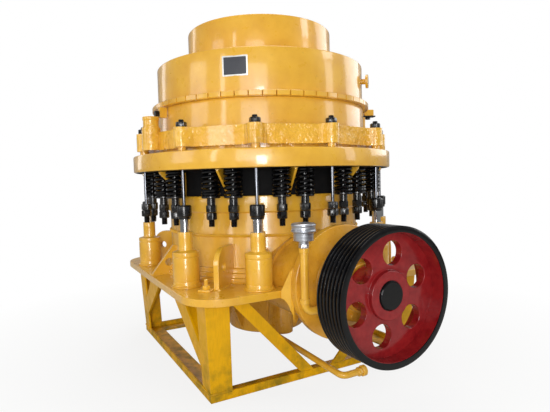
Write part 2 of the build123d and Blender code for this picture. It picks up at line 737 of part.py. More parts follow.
def tie_bolts():
    """Bolt at each station, from a domed nut on its boss down to the collar or lower nut."""
    bolts = []
    for a in STATION_AZIMUTHS:
        nut_top = RING_TOP + TIE_NUT_H
        bolt = rod_at(TIE_BOLT_R, COLLAR_LOW + COLLAR_H, RING_TOP, BOLT_CIRCLE, a)
        bolt += rod_at(TIE_NUT_R, RING_TOP, nut_top, BOLT_CIRCLE, a)
        bolts.append(bolt + rod_at(TIE_STUD_R, nut_top, nut_top + TIE_STUD_H, BOLT_CIRCLE, a))
    return joined(bolts)


def rod_collars():
    """Black collar at the lower end of each tie bolt that has a jack."""
    return joined([rod_at(COLLAR_R, COLLAR_LOW, COLLAR_LOW + COLLAR_H, BOLT_CIRCLE, a)
                   for a in JACK_AZIMUTHS])


def lower_nuts():
    """Nut and stud end under the tie bolts that have no jack."""
    nuts = []
    for a in SIDE_AZIMUTHS:
        nut = rod_at(SPRING_NUT_R, COLLAR_LOW, COLLAR_LOW + COLLAR_H, BOLT_CIRCLE, a)
        nuts.append(nut + rod_at(SPRING_BOLT_R, COLLAR_LOW - SPRING_STUD_H, COLLAR_LOW, BOLT_CIRCLE, a))
    return joined(nuts)


def jack_rods():
    """Bright rod of each jack, from its barrel up to the collar."""
    return joined([rod_at(ROD_R, JACK_TOP - ROD_SUNK_H, COLLAR_LOW, BOLT_CIRCLE, a)
                   for a in JACK_AZIMUTHS])


def spring_bolts():
    """Bolt, lower seat, nut and stud end of each spring."""
    bolts = []
    for a in SPRING_AZIMUTHS:
        nut_low = SPRING_NUT_TOP - SPRING_NUT_H
        bolt = rod_at(SPRING_BOLT_R, nut_low - SPRING_STUD_H, RING_LOW, SPRING_CIRCLE, a)
        bolt += rod_at(SPRING_NUT_R, nut_low, SPRING_NUT_TOP, SPRING_CIRCLE, a)
        bolt += rod_at(SPRING_SEAT_R, SPRING_LOW - SPRING_SEAT_T, SPRING_LOW, SPRING_CIRCLE, a)
        bolts.append(bolt)
    return joined(bolts)


def springs():
    """Ridged sleeve in the place of each coil spring, with one ridge for each turn."""
    pitch = SPRING_L / SPRING_COILS
    inner, valley = SPRING_R - SPRING_WIRE, SPRING_R - SPRING_WIRE / 3
    profile = [(inner, SPRING_LOW)]
    for k in range(SPRING_COILS):
        z = SPRING_LOW + pitch * k
        profile += [(valley, z), (SPRING_R, z + pitch / 2)]
    one = turned(profile + [(valley, FLANGE_LOW), (inner, FLANGE_LOW)])
    places = [at(SPRING_CIRCLE, a) for a in SPRING_AZIMUTHS]
    return joined([Pos(p.X, p.Y, 0) * one for p in places])


def pusher(azimuth):
    """Upright cylinder on the adjusting ring, with a pawl under the toothed ring."""
    near, far, top = TOOTH_R + RUN_GAP - PAWL_IN, TOOTH_R + RUN_GAP + PAWL_OUT, LOW_DRUM_TOP - RUN_GAP
    pawl = radial_slab([(near, PUSHER_TOP), (far, PUSHER_TOP), (far, top), (near, top)], azimuth, PAWL_W)
    return rod_at(PUSHER_R, PUSHER_LOW, PUSHER_TOP, PUSHER_CIRCLE, azimuth) + pawl


def ring_lock():
    """Post on the adjusting ring, with a block on a plate beside the toothed ring."""
    near, high = TOOTH_R + RUN_GAP, LOW_DRUM_TOP - LOCK_DROP
    low = high - LOCK_PLATE_T
    root = LOCK_CIRCLE - LOCK_R + LOCK_EDGE
    plate = radial_slab([(root, low), (near + LOCK_PLATE_L, low), (near + LOCK_PLATE_L, high), (root, high)],
                        LOCK_AZIMUTH, LOCK_W)
    block = radial_slab([(near, high), (near + LOCK_L, high), (near + LOCK_L, TOOTH_TOP), (near, TOOTH_TOP)],
                        LOCK_AZIMUTH, LOCK_W)
    return rod_at(LOCK_R, RING_TOP, low, LOCK_CIRCLE, LOCK_AZIMUTH) + plate + block


def pushers():
    """Two pushers that turn the toothed ring, and the lock between them."""
    return joined([pusher(a) for a in PUSHER_AZIMUTHS] + [ring_lock()])


# Bowl group
def liner_r(z):
    """Outer radius of the liner at a height."""
    return THROAT_R + LINER_T + LINER_SLOPE * (THROAT_Z - z)


def lower_drum():
    """Bowl: the drum under the toothed ring, solid between its skin and the liner."""
    seat = SEAT_Z + FACE_GAP
    return turned([(liner_r(seat), seat), (LOW_DRUM_R, seat), (LOW_DRUM_R, LOW_DRUM_TOP),
                   (liner_r(LOW_DRUM_TOP), LOW_DRUM_TOP)])


def bowl_skirt():
    """Lower end of the bowl, which reaches down into the frame round the liner."""
    seat = SEAT_Z + FACE_GAP
    return turned([(liner_r(SKIRT_LOW), SKIRT_LOW), (SKIRT_R, SKIRT_LOW), (SKIRT_R, seat),
                   (liner_r(seat), seat)])


def bowl_liner():
    """Manganese steel liner, a cone that widens downwards."""
    return turned([(THROAT_R, THROAT_Z), (THROAT_R + LINER_T, THROAT_Z),
                   (LINER_LOW_R + LINER_T, LINER_LOW), (LINER_LOW_R, LINER_LOW)])


def toothed_ring():
    """Ring of teeth on the bowl, for the pawls."""
    return tube(TOOTH_R, THROAT_R + TOOTH_IN, LOW_DRUM_TOP, TOOTH_TOP)


def cap_drum():
    """Adjustment cap: the wall of the drum on the toothed ring."""
    return tube(CAP_R, CAP_R - CAP_WALL, TOOTH_TOP, CAP_TOP - CAP_WALL)


def cap_top():
    """Flat top of the cap, open under the hopper, with its outer edge broken."""
    low = CAP_TOP - CAP_WALL
    return turned([(HOPPER_IN_R, low), (CAP_R, low), (CAP_R, CAP_TOP - CAP_EDGE),
                   (CAP_R - CAP_EDGE, CAP_TOP), (HOPPER_IN_R, CAP_TOP)])


def feed_hopper():
    """Open feed cylinder on the cap."""
    return tube(HOPPER_R, HOPPER_IN_R, CAP_TOP, HOPPER_TOP)


def feed_cone():
    """Funnel inside the cap, from the hopper down to the liner."""
    top = CAP_TOP - CAP_WALL
    return turned([(HOPPER_IN_R, top), (HOPPER_IN_R + FUNNEL_T, top), (THROAT_R + FUNNEL_T, THROAT_Z),
                   (THROAT_R, THROAT_Z)])


def nameplate():
    """Blank plate on the cap."""
    p = at(CAP_R, MARK_AZIMUTH)
    block = Pos(p.X, p.Y, CAP_TOP - MARK_DROP) * Rot(0, 0, MARK_AZIMUTH) * Box(MARK_W, MARK_W, MARK_H)
    return (block & rod(CAP_R + MARK_T, 0, HOPPER_TOP)) - rod(CAP_R, 0, HOPPER_TOP)


def cap_trunnions():
    """Two lifting trunnions on the cap, each a stem with a round head."""
    units = []
    for a in TRUNNION_AZIMUTHS:
        z = CAP_TOP - TRUNNION_DROP
        stem = Plane(origin=at(CAP_R, a, z), z_dir=at(1, a)) * Cylinder(TRUNNION_R, TRUNNION_H * 2)
        head = Plane(origin=at(CAP_R + TRUNNION_H + TRUNNION_HEAD_H / 2, a, z), z_dir=at(1, a))
        units.append(stem - rod(CAP_R, 0, HOPPER_TOP) + head * Cylinder(TRUNNION_HEAD_R, TRUNNION_HEAD_H))
    return joined(units)


# Crushing head
def crushing_head():
    """Mantle of the crushing cone, standing on the chamber floor."""
    return turned([(0, CHAMBER_FLOOR), (HEAD_LOW_R, CHAMBER_FLOOR), (HEAD_LOW_R, CHAMBER_FLOOR + HEAD_LOW_H),
                   (HEAD_TOP_R, HEAD_TOP), (0, HEAD_TOP)])


def feed_plate():
    """Dished distributor plate on top of the head."""
    top = HEAD_TOP + DISH_T
    return turned([(0, HEAD_TOP), (HEAD_TOP_R, HEAD_TOP), (DISH_R, top), (DISH_R, top + DISH_T),
                   (DISH_R - DISH_T, top + DISH_T), (HEAD_TOP_R - DISH_T, top), (0, top)])


def main():
    os.makedirs("parts", exist_ok=True)
    for name, turns in {"front_and_back": (0, 180), "left_and_right": (90, 270)}.items():
        outline = vee_outline() if 0 in turns else tall_outline()
        save(f"stand_braces_{name}", joined([stand_braces(turn, outline) for turn in turns]))
    pieces = {
        "stand_posts": stand_posts, "stand_rails": stand_rails,
        "base_plate": base_plate, "plate_webs": plate_webs, "frame_bottom": frame_bottom,
        "main_frame": main_frame, "chamber_wall": chamber_wall, "frame_band": frame_band,
        "frame_flange": frame_flange, "flange_ribs": flange_ribs, "lifting_lugs": lifting_lugs,
        "side_gussets": side_gussets, "hold_down_bolts": hold_down_bolts, "jack_barrels": jack_barrels,
        "countershaft_housing": countershaft_housing, "countershaft_endplate": countershaft_endplate,
        "countershaft": countershaft, "sheave_rim": sheave_rim, "sheave_disc": sheave_disc,
        "sheave_bush": sheave_bush, "breather_pipe": breather_pipe, "breather_cup": breather_cup,
        "oil_return_pipe": oil_pipe, "adjusting_ring": adjusting_ring, "tie_bolts": tie_bolts,
        "rod_collars": rod_collars, "lower_nuts": lower_nuts, "jack_rods": jack_rods,
        "spring_bolts": spring_bolts, "springs": springs, "ring_pushers": pushers,
        "lower_drum": lower_drum, "bowl_skirt": bowl_skirt, "bowl_liner": bowl_liner,
        "toothed_ring": toothed_ring, "cap_drum": cap_drum, "cap_top": cap_top,
        "feed_hopper": feed_hopper, "feed_cone": feed_cone,
        "nameplate": nameplate, "cap_trunnions": cap_trunnions, "crushing_head": crushing_head,
        "feed_plate": feed_plate,
    }
    for name, make in pieces.items():
        save(name, make())


main()
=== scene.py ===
import bpy
import bmesh
import numpy as np
from mathutils import Matrix, Vector


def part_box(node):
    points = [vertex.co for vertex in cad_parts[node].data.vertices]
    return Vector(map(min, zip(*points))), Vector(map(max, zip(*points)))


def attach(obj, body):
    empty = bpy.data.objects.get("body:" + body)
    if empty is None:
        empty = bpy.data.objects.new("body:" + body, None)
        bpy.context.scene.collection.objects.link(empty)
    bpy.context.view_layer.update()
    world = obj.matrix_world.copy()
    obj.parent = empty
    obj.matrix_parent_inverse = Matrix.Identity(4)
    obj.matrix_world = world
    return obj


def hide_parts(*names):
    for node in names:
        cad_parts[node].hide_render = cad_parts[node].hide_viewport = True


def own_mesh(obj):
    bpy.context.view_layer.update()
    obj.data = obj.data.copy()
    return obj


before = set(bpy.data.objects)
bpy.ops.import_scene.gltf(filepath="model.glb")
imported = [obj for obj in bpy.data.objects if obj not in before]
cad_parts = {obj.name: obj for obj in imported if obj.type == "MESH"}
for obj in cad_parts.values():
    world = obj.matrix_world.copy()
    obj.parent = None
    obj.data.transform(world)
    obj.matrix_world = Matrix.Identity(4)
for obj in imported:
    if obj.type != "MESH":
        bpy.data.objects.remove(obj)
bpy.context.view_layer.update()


# Camera: the machine is seen from its front left at chest height, 3.3 m from the crushing axis.
# The line of sight dips by three degrees and the picture leans by one and a half.
def aim(eye, yaw, pitch, roll):
    """Matrix at eye, turned by yaw from +Y, tilted by pitch and rolled about the line of sight."""
    ahead = Vector((np.sin(yaw) * np.cos(pitch), np.cos(yaw) * np.cos(pitch), np.sin(pitch)))
    right = ahead.cross(Vector((0, 0, 1))).normalized()
    up = right.cross(ahead)
    side = right * np.cos(roll) + up * np.sin(roll)
    top = up * np.cos(roll) - right * np.sin(roll)
    return Matrix.Translation(eye) @ Matrix((side, top, -ahead)).transposed().to_4x4()


camera = bpy.data.objects.new("camera", bpy.data.cameras.new("camera"))
camera.data.sensor_width, camera.data.lens = 36.0, 29.438
camera.data.clip_start, camera.data.clip_end = 0.05, 100.0
camera.matrix_world = aim(eye=(-1.5326, -2.9267, 1.1697), yaw=0.50779, pitch=-0.05449,
                          roll=-0.02533)
bpy.context.collection.objects.link(camera)
bpy.context.scene.camera = camera
bpy.context.scene.view_settings.view_transform = "Standard"


# Studio: a plain pale floor between tall soft boxes, which lay upright highlights on the drums. It
# is white behind the object for the eye and for the reflections.
def linear(colour):
    """Linear red, green, blue and 1 from an sRGB hex value."""
    c = np.array([int(colour[i:i + 2], 16) for i in (1, 3, 5)]) / 255
    return (*np.where(c <= 0.04045, c / 12.92, ((c + 0.055) / 1.055) ** 2.4).tolist(), 1.0)


def add(tree, kind, inputs={}, out=None, stops=(), **settings):
    """Node of a kind with its settings and links; an input's key is its name or place in use."""
    node = tree.nodes.new("ShaderNode" + kind)
    for key, value in settings.items():
        setattr(node, key, value)
    used = [socket for socket in node.inputs if socket.enabled]
    for key, value in inputs.items():
        socket = used[key] if isinstance(key, int) else node.inputs[key]
        if isinstance(value, bpy.types.NodeSocket):
            tree.links.new(value, socket)
        else:
            socket.default_value = linear(value) if isinstance(value, str) else value
    for k, (place, colour) in enumerate(stops):
        element = node.color_ramp.elements[k] if k < 2 else node.color_ramp.elements.new(place)
        element.position, element.color = place, linear(colour)
    if out is not None:
        return node.outputs[out]
    return next((socket for socket in node.outputs if socket.enabled), None)


def emptied_tree(owner):
    """Empty node tree of a material or a world."""
    owner.use_nodes = True
    owner.node_tree.nodes.clear()
    return owner.node_tree


bpy.context.scene.world = bpy.data.worlds.new("studio")
tree = emptied_tree(bpy.context.scene.world)
camera_ray = add(tree, "LightPath", out="Is Camera Ray")
glass_ray = add(tree, "LightPath", out="Is Transmission Ray")
glossy_ray = add(tree, "LightPath", out="Is Glossy Ray")
seen = add(tree, "Math", {0: camera_ray, 1: glass_ray}, operation="MAXIMUM")
light = add(tree, "Background", {"Color": "#F6F6F4", "Strength": 0.37})
mirrored = add(tree, "Background", {"Color": "#FFFFFF", "Strength": 0.3})
paper = add(tree, "Background", {"Color": "#FFFFFF", "Strength": 1.0})
around = add(tree, "MixShader", {0: glossy_ray, 1: light, 2: mirrored})
add(tree, "OutputWorld", {"Surface": add(tree, "MixShader", {0: seen, 1: around, 2: paper})})

half_floor = 14.0
floor_mesh = bpy.data.meshes.new("floor")
floor_mesh.from_pydata([(sx * half_floor, sy * half_floor, 0)
                        for sx, sy in ((-1, -1), (1, -1), (1, 1), (-1, 1))], [], [(0, 1, 2, 3)])
floor = bpy.data.objects.new("floor", floor_mesh)
bpy.context.collection.objects.link(floor)
pale_floor = bpy.data.materials.new("studio_floor")
tree = emptied_tree(pale_floor)
# to the eye the floor is a light grey within 0.9 m of the crushing axis, and white beyond 2.8 m
reach = add(tree, "VectorMath", {0: add(tree, "TexCoord", out="Object")}, out="Value",
            operation="LENGTH")
white = add(tree, "MapRange", {0: reach, 1: 0.9, 2: 2.8, 3: 0.84, 4: 1.0})
camera_ray = add(tree, "LightPath", out="Is Camera Ray")
share = add(tree, "Math", {0: camera_ray, 1: white}, operation="MULTIPLY")
matt = add(tree, "BsdfDiffuse", {"Color": "#C4C4C0"})
glow = add(tree, "Emission", {"Color": "#FFFFFF"})
add(tree, "OutputMaterial", {"Surface": add(tree, "MixShader", {0: share, 1: matt, 2: glow})})
floor_mesh.materials.append(pale_floor)

# each box: its azimuth in degrees, its distance, width, height and middle's height in metres, and
# its glow; the high ones are aimed no higher than 1.9 m
highest_aim = 1.9
for name, azimuth, away, wide, tall, centre, glow in (
        ("box_middle", -34, 5.4, 2.5, 2.4, 2.1, 3.3),
        ("box_core", -28, 5.3, 0.7, 1.7, 1.0, 20.0),
        ("box_strip", -64, 5.2, 0.4, 2.8, 2.4, 6.0),
        ("box_left", -91, 5.2, 1.8, 2.4, 2.3, 2.4),
        ("box_right", 45, 5.4, 0.9, 2.6, 2.2, 3.4),
        ("box_right_high", 46, 5.4, 1.2, 1.1, 4.25, 7.0),
        ("box_far_right", 88, 5.2, 3.2, 3.0, 3.2, 2.4),
        ("box_back_left", -150, 5.4, 0.9, 3.4, 2.7, 1.8),
        ("box_back_right", 150, 5.4, 1.8, 3.4, 2.7, 4.0),
        ("box_above", 0, 0.01, 3.0, 3.0, 5.6, 4.0)):
    lamp = bpy.data.lights.new(name, "AREA")
    lamp.shape, lamp.size, lamp.size_y = "RECTANGLE", wide, tall
    lamp.energy = glow * np.pi * wide * tall
    obj = bpy.data.objects.new(name, lamp)
    a = np.radians(azimuth)
    place = Vector((away * np.sin(a), -away * np.cos(a), centre))
    facing = (Vector((0, 0, min(centre, highest_aim))) - place).to_track_quat("-Z", "Y")
    obj.matrix_world = Matrix.Translation(place) @ facing.to_matrix().to_4x4()
    bpy.context.collection.objects.link(obj)


# Stand: posts and base rails cut from angle, and inclined plates, welded together and brushed with
# lemon-yellow oil paint. Its colour turns darker olive in patches, more of them towards the floor.
def dress(name, mesh, material, body, nodes):
    """The mesh as a finished object, shaded smooth up to 38 degrees, in place of its nodes."""
    mesh.polygons.foreach_set("use_smooth", np.ones(len(mesh.polygons), bool))
    mesh.set_sharp_from_angle(angle=np.radians(38))
    mesh.materials.clear()
    mesh.materials.append(material)
    obj = bpy.data.objects.new(name, mesh)
    bpy.context.collection.objects.link(obj)
    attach(obj, body)
    if nodes:
        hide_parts(*nodes)
    return obj


def eased(name, nodes, width, material, body="main_frame"):
    """Copy of CAD nodes with like points merged, flat faces whole and edges rounded by a width."""
    flat_within, rounded_above = np.radians(1.0), np.radians(35)
    bm = bmesh.new()
    for node in nodes:
        bm.from_mesh(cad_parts[node].data)
    bmesh.ops.remove_doubles(bm, verts=bm.verts, dist=1e-5)
    bmesh.ops.dissolve_limit(bm, angle_limit=flat_within, verts=bm.verts, edges=bm.edges)
    mesh = bpy.data.meshes.new(name)
    bm.to_mesh(mesh)
    bm.free()
    obj = dress(name, mesh, material, body, nodes)
    bevel = obj.modifiers.new("edges", "BEVEL")
    bevel.width, bevel.segments, bevel.limit_method = width, 2, "ANGLE"
    bevel.angle_limit, bevel.harden_normals, bevel.use_clamp_overlap = rounded_above, True, True
    return obj


def band_faces(rows, columns, closed):
    """Quads between neighbouring rows, which are loops; closed joins the last row to the first."""
    firsts = np.arange(rows if closed else rows - 1)
    i, j = np.meshgrid(firsts, np.arange(columns), indexing="ij")
    k, m = (i + 1) % rows, (j + 1) % columns
    quads = np.stack([i * columns + j, k * columns + j, k * columns + m, i * columns + m], -1)
    return quads.reshape(-1, 4)


def lofted(rings, closed=False):
    """Shell through rings, an array of rows, points and x, y, z; open ends get a flat cap."""
    rows, columns = rings.shape[:2]
    faces = [band_faces(rows, columns, closed)]
    if not closed:
        faces += [np.arange(columns)[None], np.arange(columns)[None, ::-1] + (rows - 1) * columns]
    return rings.reshape(-1, 3), faces


def made(name, shells, material, body="main_frame", nodes=()):
    """One object from closed shells of points and faces, merged, with its faces turned outwards."""
    starts = np.cumsum([0] + [len(points) for points, _ in shells])
    faces = [face for (_, groups), start in zip(shells, starts)
             for group in groups for face in (group + start).tolist()]
    mesh = bpy.data.meshes.new(name)
    mesh.from_pydata(np.concatenate([points for points, _ in shells]).tolist(), [], faces)
    bm = bmesh.new()
    bm.from_mesh(mesh)
    bmesh.ops.remove_doubles(bm, verts=bm.verts, dist=2e-5)
    bmesh.ops.dissolve_degenerate(bm, edges=bm.edges, dist=1e-6)
    bmesh.ops.recalc_face_normals(bm, faces=bm.faces)
    bm.to_mesh(mesh)
    bm.free()
    return dress(name, mesh, material, body, nodes)


def swept(path, radius, sides=8, closed=False, ripple=0.0, beat=0.009):
    """Tube along a path: circles square to it, swollen by ripple once in each beat of length."""
    path = np.asarray(path, float)
    ahead = np.roll(path, -1, 0) - np.roll(path, 1, 0) if closed else np.gradient(path, axis=0)
    ahead /= np.linalg.norm(ahead, axis=1, keepdims=True)
    side = np.cross(ahead, np.where(np.abs(ahead[:, 2:]) > 0.9, [[1.0, 0, 0]], [[0, 0, 1.0]]))
    side /= np.linalg.norm(side, axis=1, keepdims=True)
    top = np.cross(side, ahead)
    gone = np.linalg.norm(np.diff(path, axis=0, prepend=path[:1]), axis=1).cumsum()
    r = (radius * (1 + ripple * np.abs(np.sin(np.pi * gone / beat))))[:, None, None]
    t = np.linspace(0, 2 * np.pi, sides, endpoint=False)[:, None]
    circle = side[:, None] * np.cos(t) + top[:, None] * np.sin(t)
    return lofted(path[:, None] + r * circle, closed)


bead_step = 0.003


def bead(path, thick, closed=False):
    """Rippled weld bead along a path: a six-sided tube that swells by two fifths at each ripple."""
    return swept(path, thick, 6, closed, 0.4)


def seam(start, end, thick=0.005):
    """Weld bead on the straight line between two points."""
    start, end = np.array(start, float), np.array(end, float)
    count = max(int(np.linalg.norm(end - start) / bead_step), 3)
    return bead(start + (end - start) * np.linspace(0, 1, count)[:, None], thick)


def finish(name, roughness, metallic=0.0, coat=0.0, coat_roughness=0.06, specular=0.5):
    """Material, its tree, its surface inputs, and the Object coordinates its patterns read."""
    material = bpy.data.materials.new(name)
    tree = emptied_tree(material)
    surface = tree.nodes.new("ShaderNodeBsdfPrincipled")
    for key, value in (("Roughness", roughness), ("Metallic", metallic), ("Coat Weight", coat),
                       ("Coat Roughness", coat_roughness), ("Specular IOR Level", specular)):
        surface.inputs[key].default_value = value
    add(tree, "OutputMaterial", {"Surface": surface.outputs[0]})
    return material, tree, surface.inputs, add(tree, "TexCoord", out="Object")


def feed(target, source):
    """Link into an input from a node's output."""
    target.id_data.links.new(source, target)


# Oil paint laid on with a brush: streaks about 5 mm apart run up the steel, and darker olive
# patches about 90 mm wide grow denser towards the floor. The gloss is uneven across the patches.
brushed_paint, tree, surface, where = finish("brushed_oil_paint", 0.55, specular=0.3)
combed = add(tree, "Mapping", {"Vector": where, "Scale": (200, 200, 14)})
streaks = add(tree, "TexNoise", {"Vector": combed, "Scale": 1.0, "Detail": 4.0, "Roughness": 0.6})
patches = add(tree, "TexNoise", {"Vector": where, "Scale": 11.0, "Detail": 6.0, "Roughness": 0.62})
tone = add(tree, "ValToRGB", {0: streaks}, stops=(
    (0.2, "#D49C00"), (0.5, "#E2A800"), (0.8, "#E9B206")))
height = add(tree, "SeparateXYZ", {0: where}, out=2)
low_down = add(tree, "MapRange", {0: height, 1: 0.0, 2: 0.34, 3: 0.8, 4: 0.15})
patchy = add(tree, "MapRange", {0: patches, 1: 0.42, 2: 0.66, 3: 0.0, 4: 1.0})
olive_toward_floor = add(tree, "Math", {0: low_down, 1: patchy}, operation="MULTIPLY")
feed(surface["Base Color"], add(tree, "Mix", {0: olive_toward_floor, 1: tone, 2: "#6E6414"}, data_type="RGBA"))
feed(surface["Roughness"], add(tree, "MapRange", {0: patches, 1: 0.3, 2: 0.7, 3: 0.3, 4: 0.55}))
fine = add(tree, "Bump", {"Height": streaks, "Distance": 0.0003})
feed(surface["Normal"], add(tree, "Bump", {"Height": patches, "Distance": 0.0008, "Normal": fine}))

eased("stand_base_rails", ["stand_rails"], 0.0022, brushed_paint)
eased("stand_corner_posts", ["stand_posts"], 0.003, brushed_paint)
eased("stand_inclined_plates", ["stand_braces_front_and_back", "stand_braces_left_and_right"],
      0.0018, brushed_paint)


def inner_leg(sx, sy, width=0.090, thick=0.012):
    """Second leg of a side brace: a rectangle square to its edge, carried from foot to top."""
    foot_yz, top_yz, across_y, across_z = (0.616, 0.280), (0.300, 0.539), 0.635, 0.772
    plate_x, lean, plate_foot = 0.718, 0.057, 0.046
    ends = []
    for y, z in (foot_yz, top_yz):
        face = plate_x + lean * (z - plate_foot)
        ends.append([(sx * (face - u), sy * (y - across_y * v), z - across_z * v)
                     for u, v in ((0, 0), (width, 0), (width, thick), (0, thick))])
    return lofted(np.array(ends))


# the side braces are cut from angle: a second leg turns inwards along the edge that faces the post
corners = [(sx, sy) for sx in (-1, 1) for sy in (-1, 1)]
made("stand_brace_inner_legs", [inner_leg(sx, sy) for sx, sy in corners], brushed_paint)
rail_reach, rail_top, post_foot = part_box("stand_rails")[1].x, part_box("stand_rails")[1].z, 0.126
post_beads = []
for sx, sy in corners:
    for a, b in ((1, 0), (0, 1)):
        post_edge = (sx * (rail_reach - a * post_foot), sy * (rail_reach - b * post_foot), rail_top)
        post_beads.append(seam((sx * rail_reach, sy * rail_reach, rail_top), post_edge))
made("stand_weld_beads", post_beads, brushed_paint)


# Base plate: flame-cut plate on the four posts, with broad round corners. Two flared webs carry its
# front edge on to the end flange of the countershaft, and all of it wears the machine's enamel.
def machine_enamel(name, wave_mm, wave_depth, tones, gloss=0.25):
    """Ochre-yellow alkyd enamel on cast steel whose skin waves at wave_mm, wave_depth metres deep.

    Its smoothest places have the roughness gloss, so a lower gloss shines more.
    """
    material, tree, surface, where = finish(name, 0.36, coat=0.8, coat_roughness=gloss * 0.36)
    clouds = add(tree, "TexNoise",
                 {"Vector": where, "Scale": 7.0, "Detail": 5.0, "Roughness": 0.55})
    tone = add(tree, "ValToRGB", {0: clouds}, stops=tuple(zip((0.3, 0.52, 0.75), tones)))
    # dust that greases the paint: brown specks and smears about 25 mm wide
    smears = add(tree, "TexNoise",
                 {"Vector": where, "Scale": 38.0, "Detail": 8.0, "Roughness": 0.7})
    dirt = add(tree, "MapRange", {0: smears, 1: 0.6, 2: 0.76, 3: 0.0, 4: 0.28})
    feed(surface["Base Color"],
         add(tree, "Mix", {0: dirt, 1: tone, 2: "#8A5A1C"}, data_type="RGBA"))
    skin = add(tree, "TexNoise", {"Vector": where, "Scale": 280.0, "Detail": 2.0})
    waves = add(tree, "TexNoise", {"Vector": where, "Scale": 1000.0 / wave_mm, "Detail": 3.0})
    feed(surface["Roughness"],
         add(tree, "MapRange", {0: waves, 1: 0.3, 2: 0.7, 3: gloss, 4: gloss + 0.15}))
    peel = add(tree, "Bump", {"Height": skin, "Distance": 0.00012})
    feed(surface["Normal"],
         add(tree, "Bump", {"Height": waves, "Distance": wave_depth, "Normal": peel}))
    return material


enamel = machine_enamel("ochre_alkyd_enamel", 60, 0.0011, ("#D89F28", "#E2AC30", "#EAB63C"))
cast_enamel = machine_enamel("enamel_on_rough_casting", 18, 0.0018,
                             ("#C08520", "#D59A28", "#E2AA34"))
wavy_enamel = machine_enamel("enamel_on_wavy_casting", 55, 0.024,
                             ("#DAA22A", "#E6B034", "#EFBC42"), gloss=0.12)

eased("base_plate_cut", ["base_plate"], 0.004, enamel)
eased("flared_webs", ["plate_webs"], 0.003, enamel)


# Casting under the plate: the hub of the eccentric, ribbed and cast in one with the frame, with the
# boss of the oil drain at its front. The sand of the mould still shows under its paint.
eased("hub_casting", ["frame_bottom"], 0.004, cast_enamel)


# Drum of the main frame: rolled and turned steel with three steps at its foot, a weld bead round
# its middle, and a stiffening band below the springs, where the chamber wall begins.
def softened(points, radius, steps=4):
    """Closed outline with its corners rounded: each curve slides from leg to leg over radius."""
    points = np.asarray(points, float)
    before, after = np.roll(points, 1, 0) - points, np.roll(points, -1, 0) - points
    long_before = np.linalg.norm(before, axis=1, keepdims=True)
    long_after = np.linalg.norm(after, axis=1, keepdims=True)
    reach = np.minimum(np.minimum(radius, long_before * 0.49), long_after * 0.49)
    s = np.linspace(0, 1, steps + 1)[None, :, None]
    leave, join = before / long_before * reach, after / long_after * reach
    curve = points[:, None] + leave[:, None] * (1 - s) ** 2 + join[:, None] * s ** 2
    return curve.reshape(-1, 2)


def spun(r, z, place, count):
    """Rings about an upright axis at a place: x grows with r sin t, y falls with r cos t, at z."""
    t = np.linspace(0, 2 * np.pi, count, endpoint=False)
    return np.stack(np.broadcast_arrays(place[0] + r * np.sin(t), place[1] - r * np.cos(t), z), -1)


def turned(outline, soft=0.003, place=(0, 0), count=192, steps=3):
    """Closed outline of radius and height, softened and turned about an upright axis at a place."""
    r, z = softened(outline, soft, steps).T[:, :, None]
    return lofted(spun(r, z, place, count), True)


def post(outline, place=(0, 0), soft=0.0, count=40, steps=0):
    """Solid turned piece: its outline runs up the outside from axis to axis, corners softened."""
    low, high = outline[0][1], outline[-1][1]
    inner = softened([(0, low), *outline, (0, high)], soft, steps)[steps + 1:-steps - 1]
    r, z = np.concatenate([[(1e-4, low)], inner, [(1e-4, high)]]).T[:, :, None]
    return lofted(spun(r, z, place, count))


def plain_ring(inner, outer, low, high):
    """Outline of a ring of rectangular section between two radii and two heights."""
    return [(inner, low), (outer, low), (outer, high), (inner, high)]


def ringed(low, high, radius, edge=0.003):
    """Outline up the outside of an upright cylinder with both of its edges broken."""
    end_r = radius - edge
    return [(end_r, low), (radius, low + edge), (radius, high - edge), (end_r, high)]


def on_circle(radius, azimuth):
    """Place on a circle about the crushing axis, azimuth in degrees from -Y towards +X."""
    a = np.radians(azimuth)
    return radius * np.sin(a), -radius * np.cos(a)


def round_bead(radius, height, thick=0.005):
    """Weld bead on a level circle about the crushing axis."""
    t = np.linspace(0, 2 * np.pi, int(2 * np.pi * radius / bead_step), endpoint=False)
    path = np.stack([radius * np.sin(t), -radius * np.cos(t), np.full(len(t), height)], -1)
    return bead(path, thick, True)


wall_low, wall_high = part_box("chamber_wall")
band_low, band_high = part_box("frame_band")
drum_r, band_r, core_r = wall_high.x, band_high.x, 0.30
inner_r, band_in = drum_r - 0.030, drum_r - 0.004
foot, step_h, step_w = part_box("main_frame")[0].z, 0.026, 0.018
steps_top, middle_bead = foot + 3 * step_h, foot + 0.272
stairs = [(drum_r + step_w * (3 - k), foot + step_h * (k + up)) for k in range(3) for up in (0, 1)]
made("drum", [turned([(core_r, foot), *stairs, (drum_r, steps_top), (drum_r, wall_low.z),
                      (core_r, wall_low.z)], 0.004)], enamel, nodes=["main_frame"])
made("stiffening_band", [turned(plain_ring(band_in, band_r, band_low.z, band_high.z), 0.006)],
     enamel, nodes=["frame_band"])
made("drum_weld_beads", [round_bead(drum_r + 0.001, middle_bead, 0.008),
                         round_bead(drum_r, band_low.z, 0.006)], enamel)


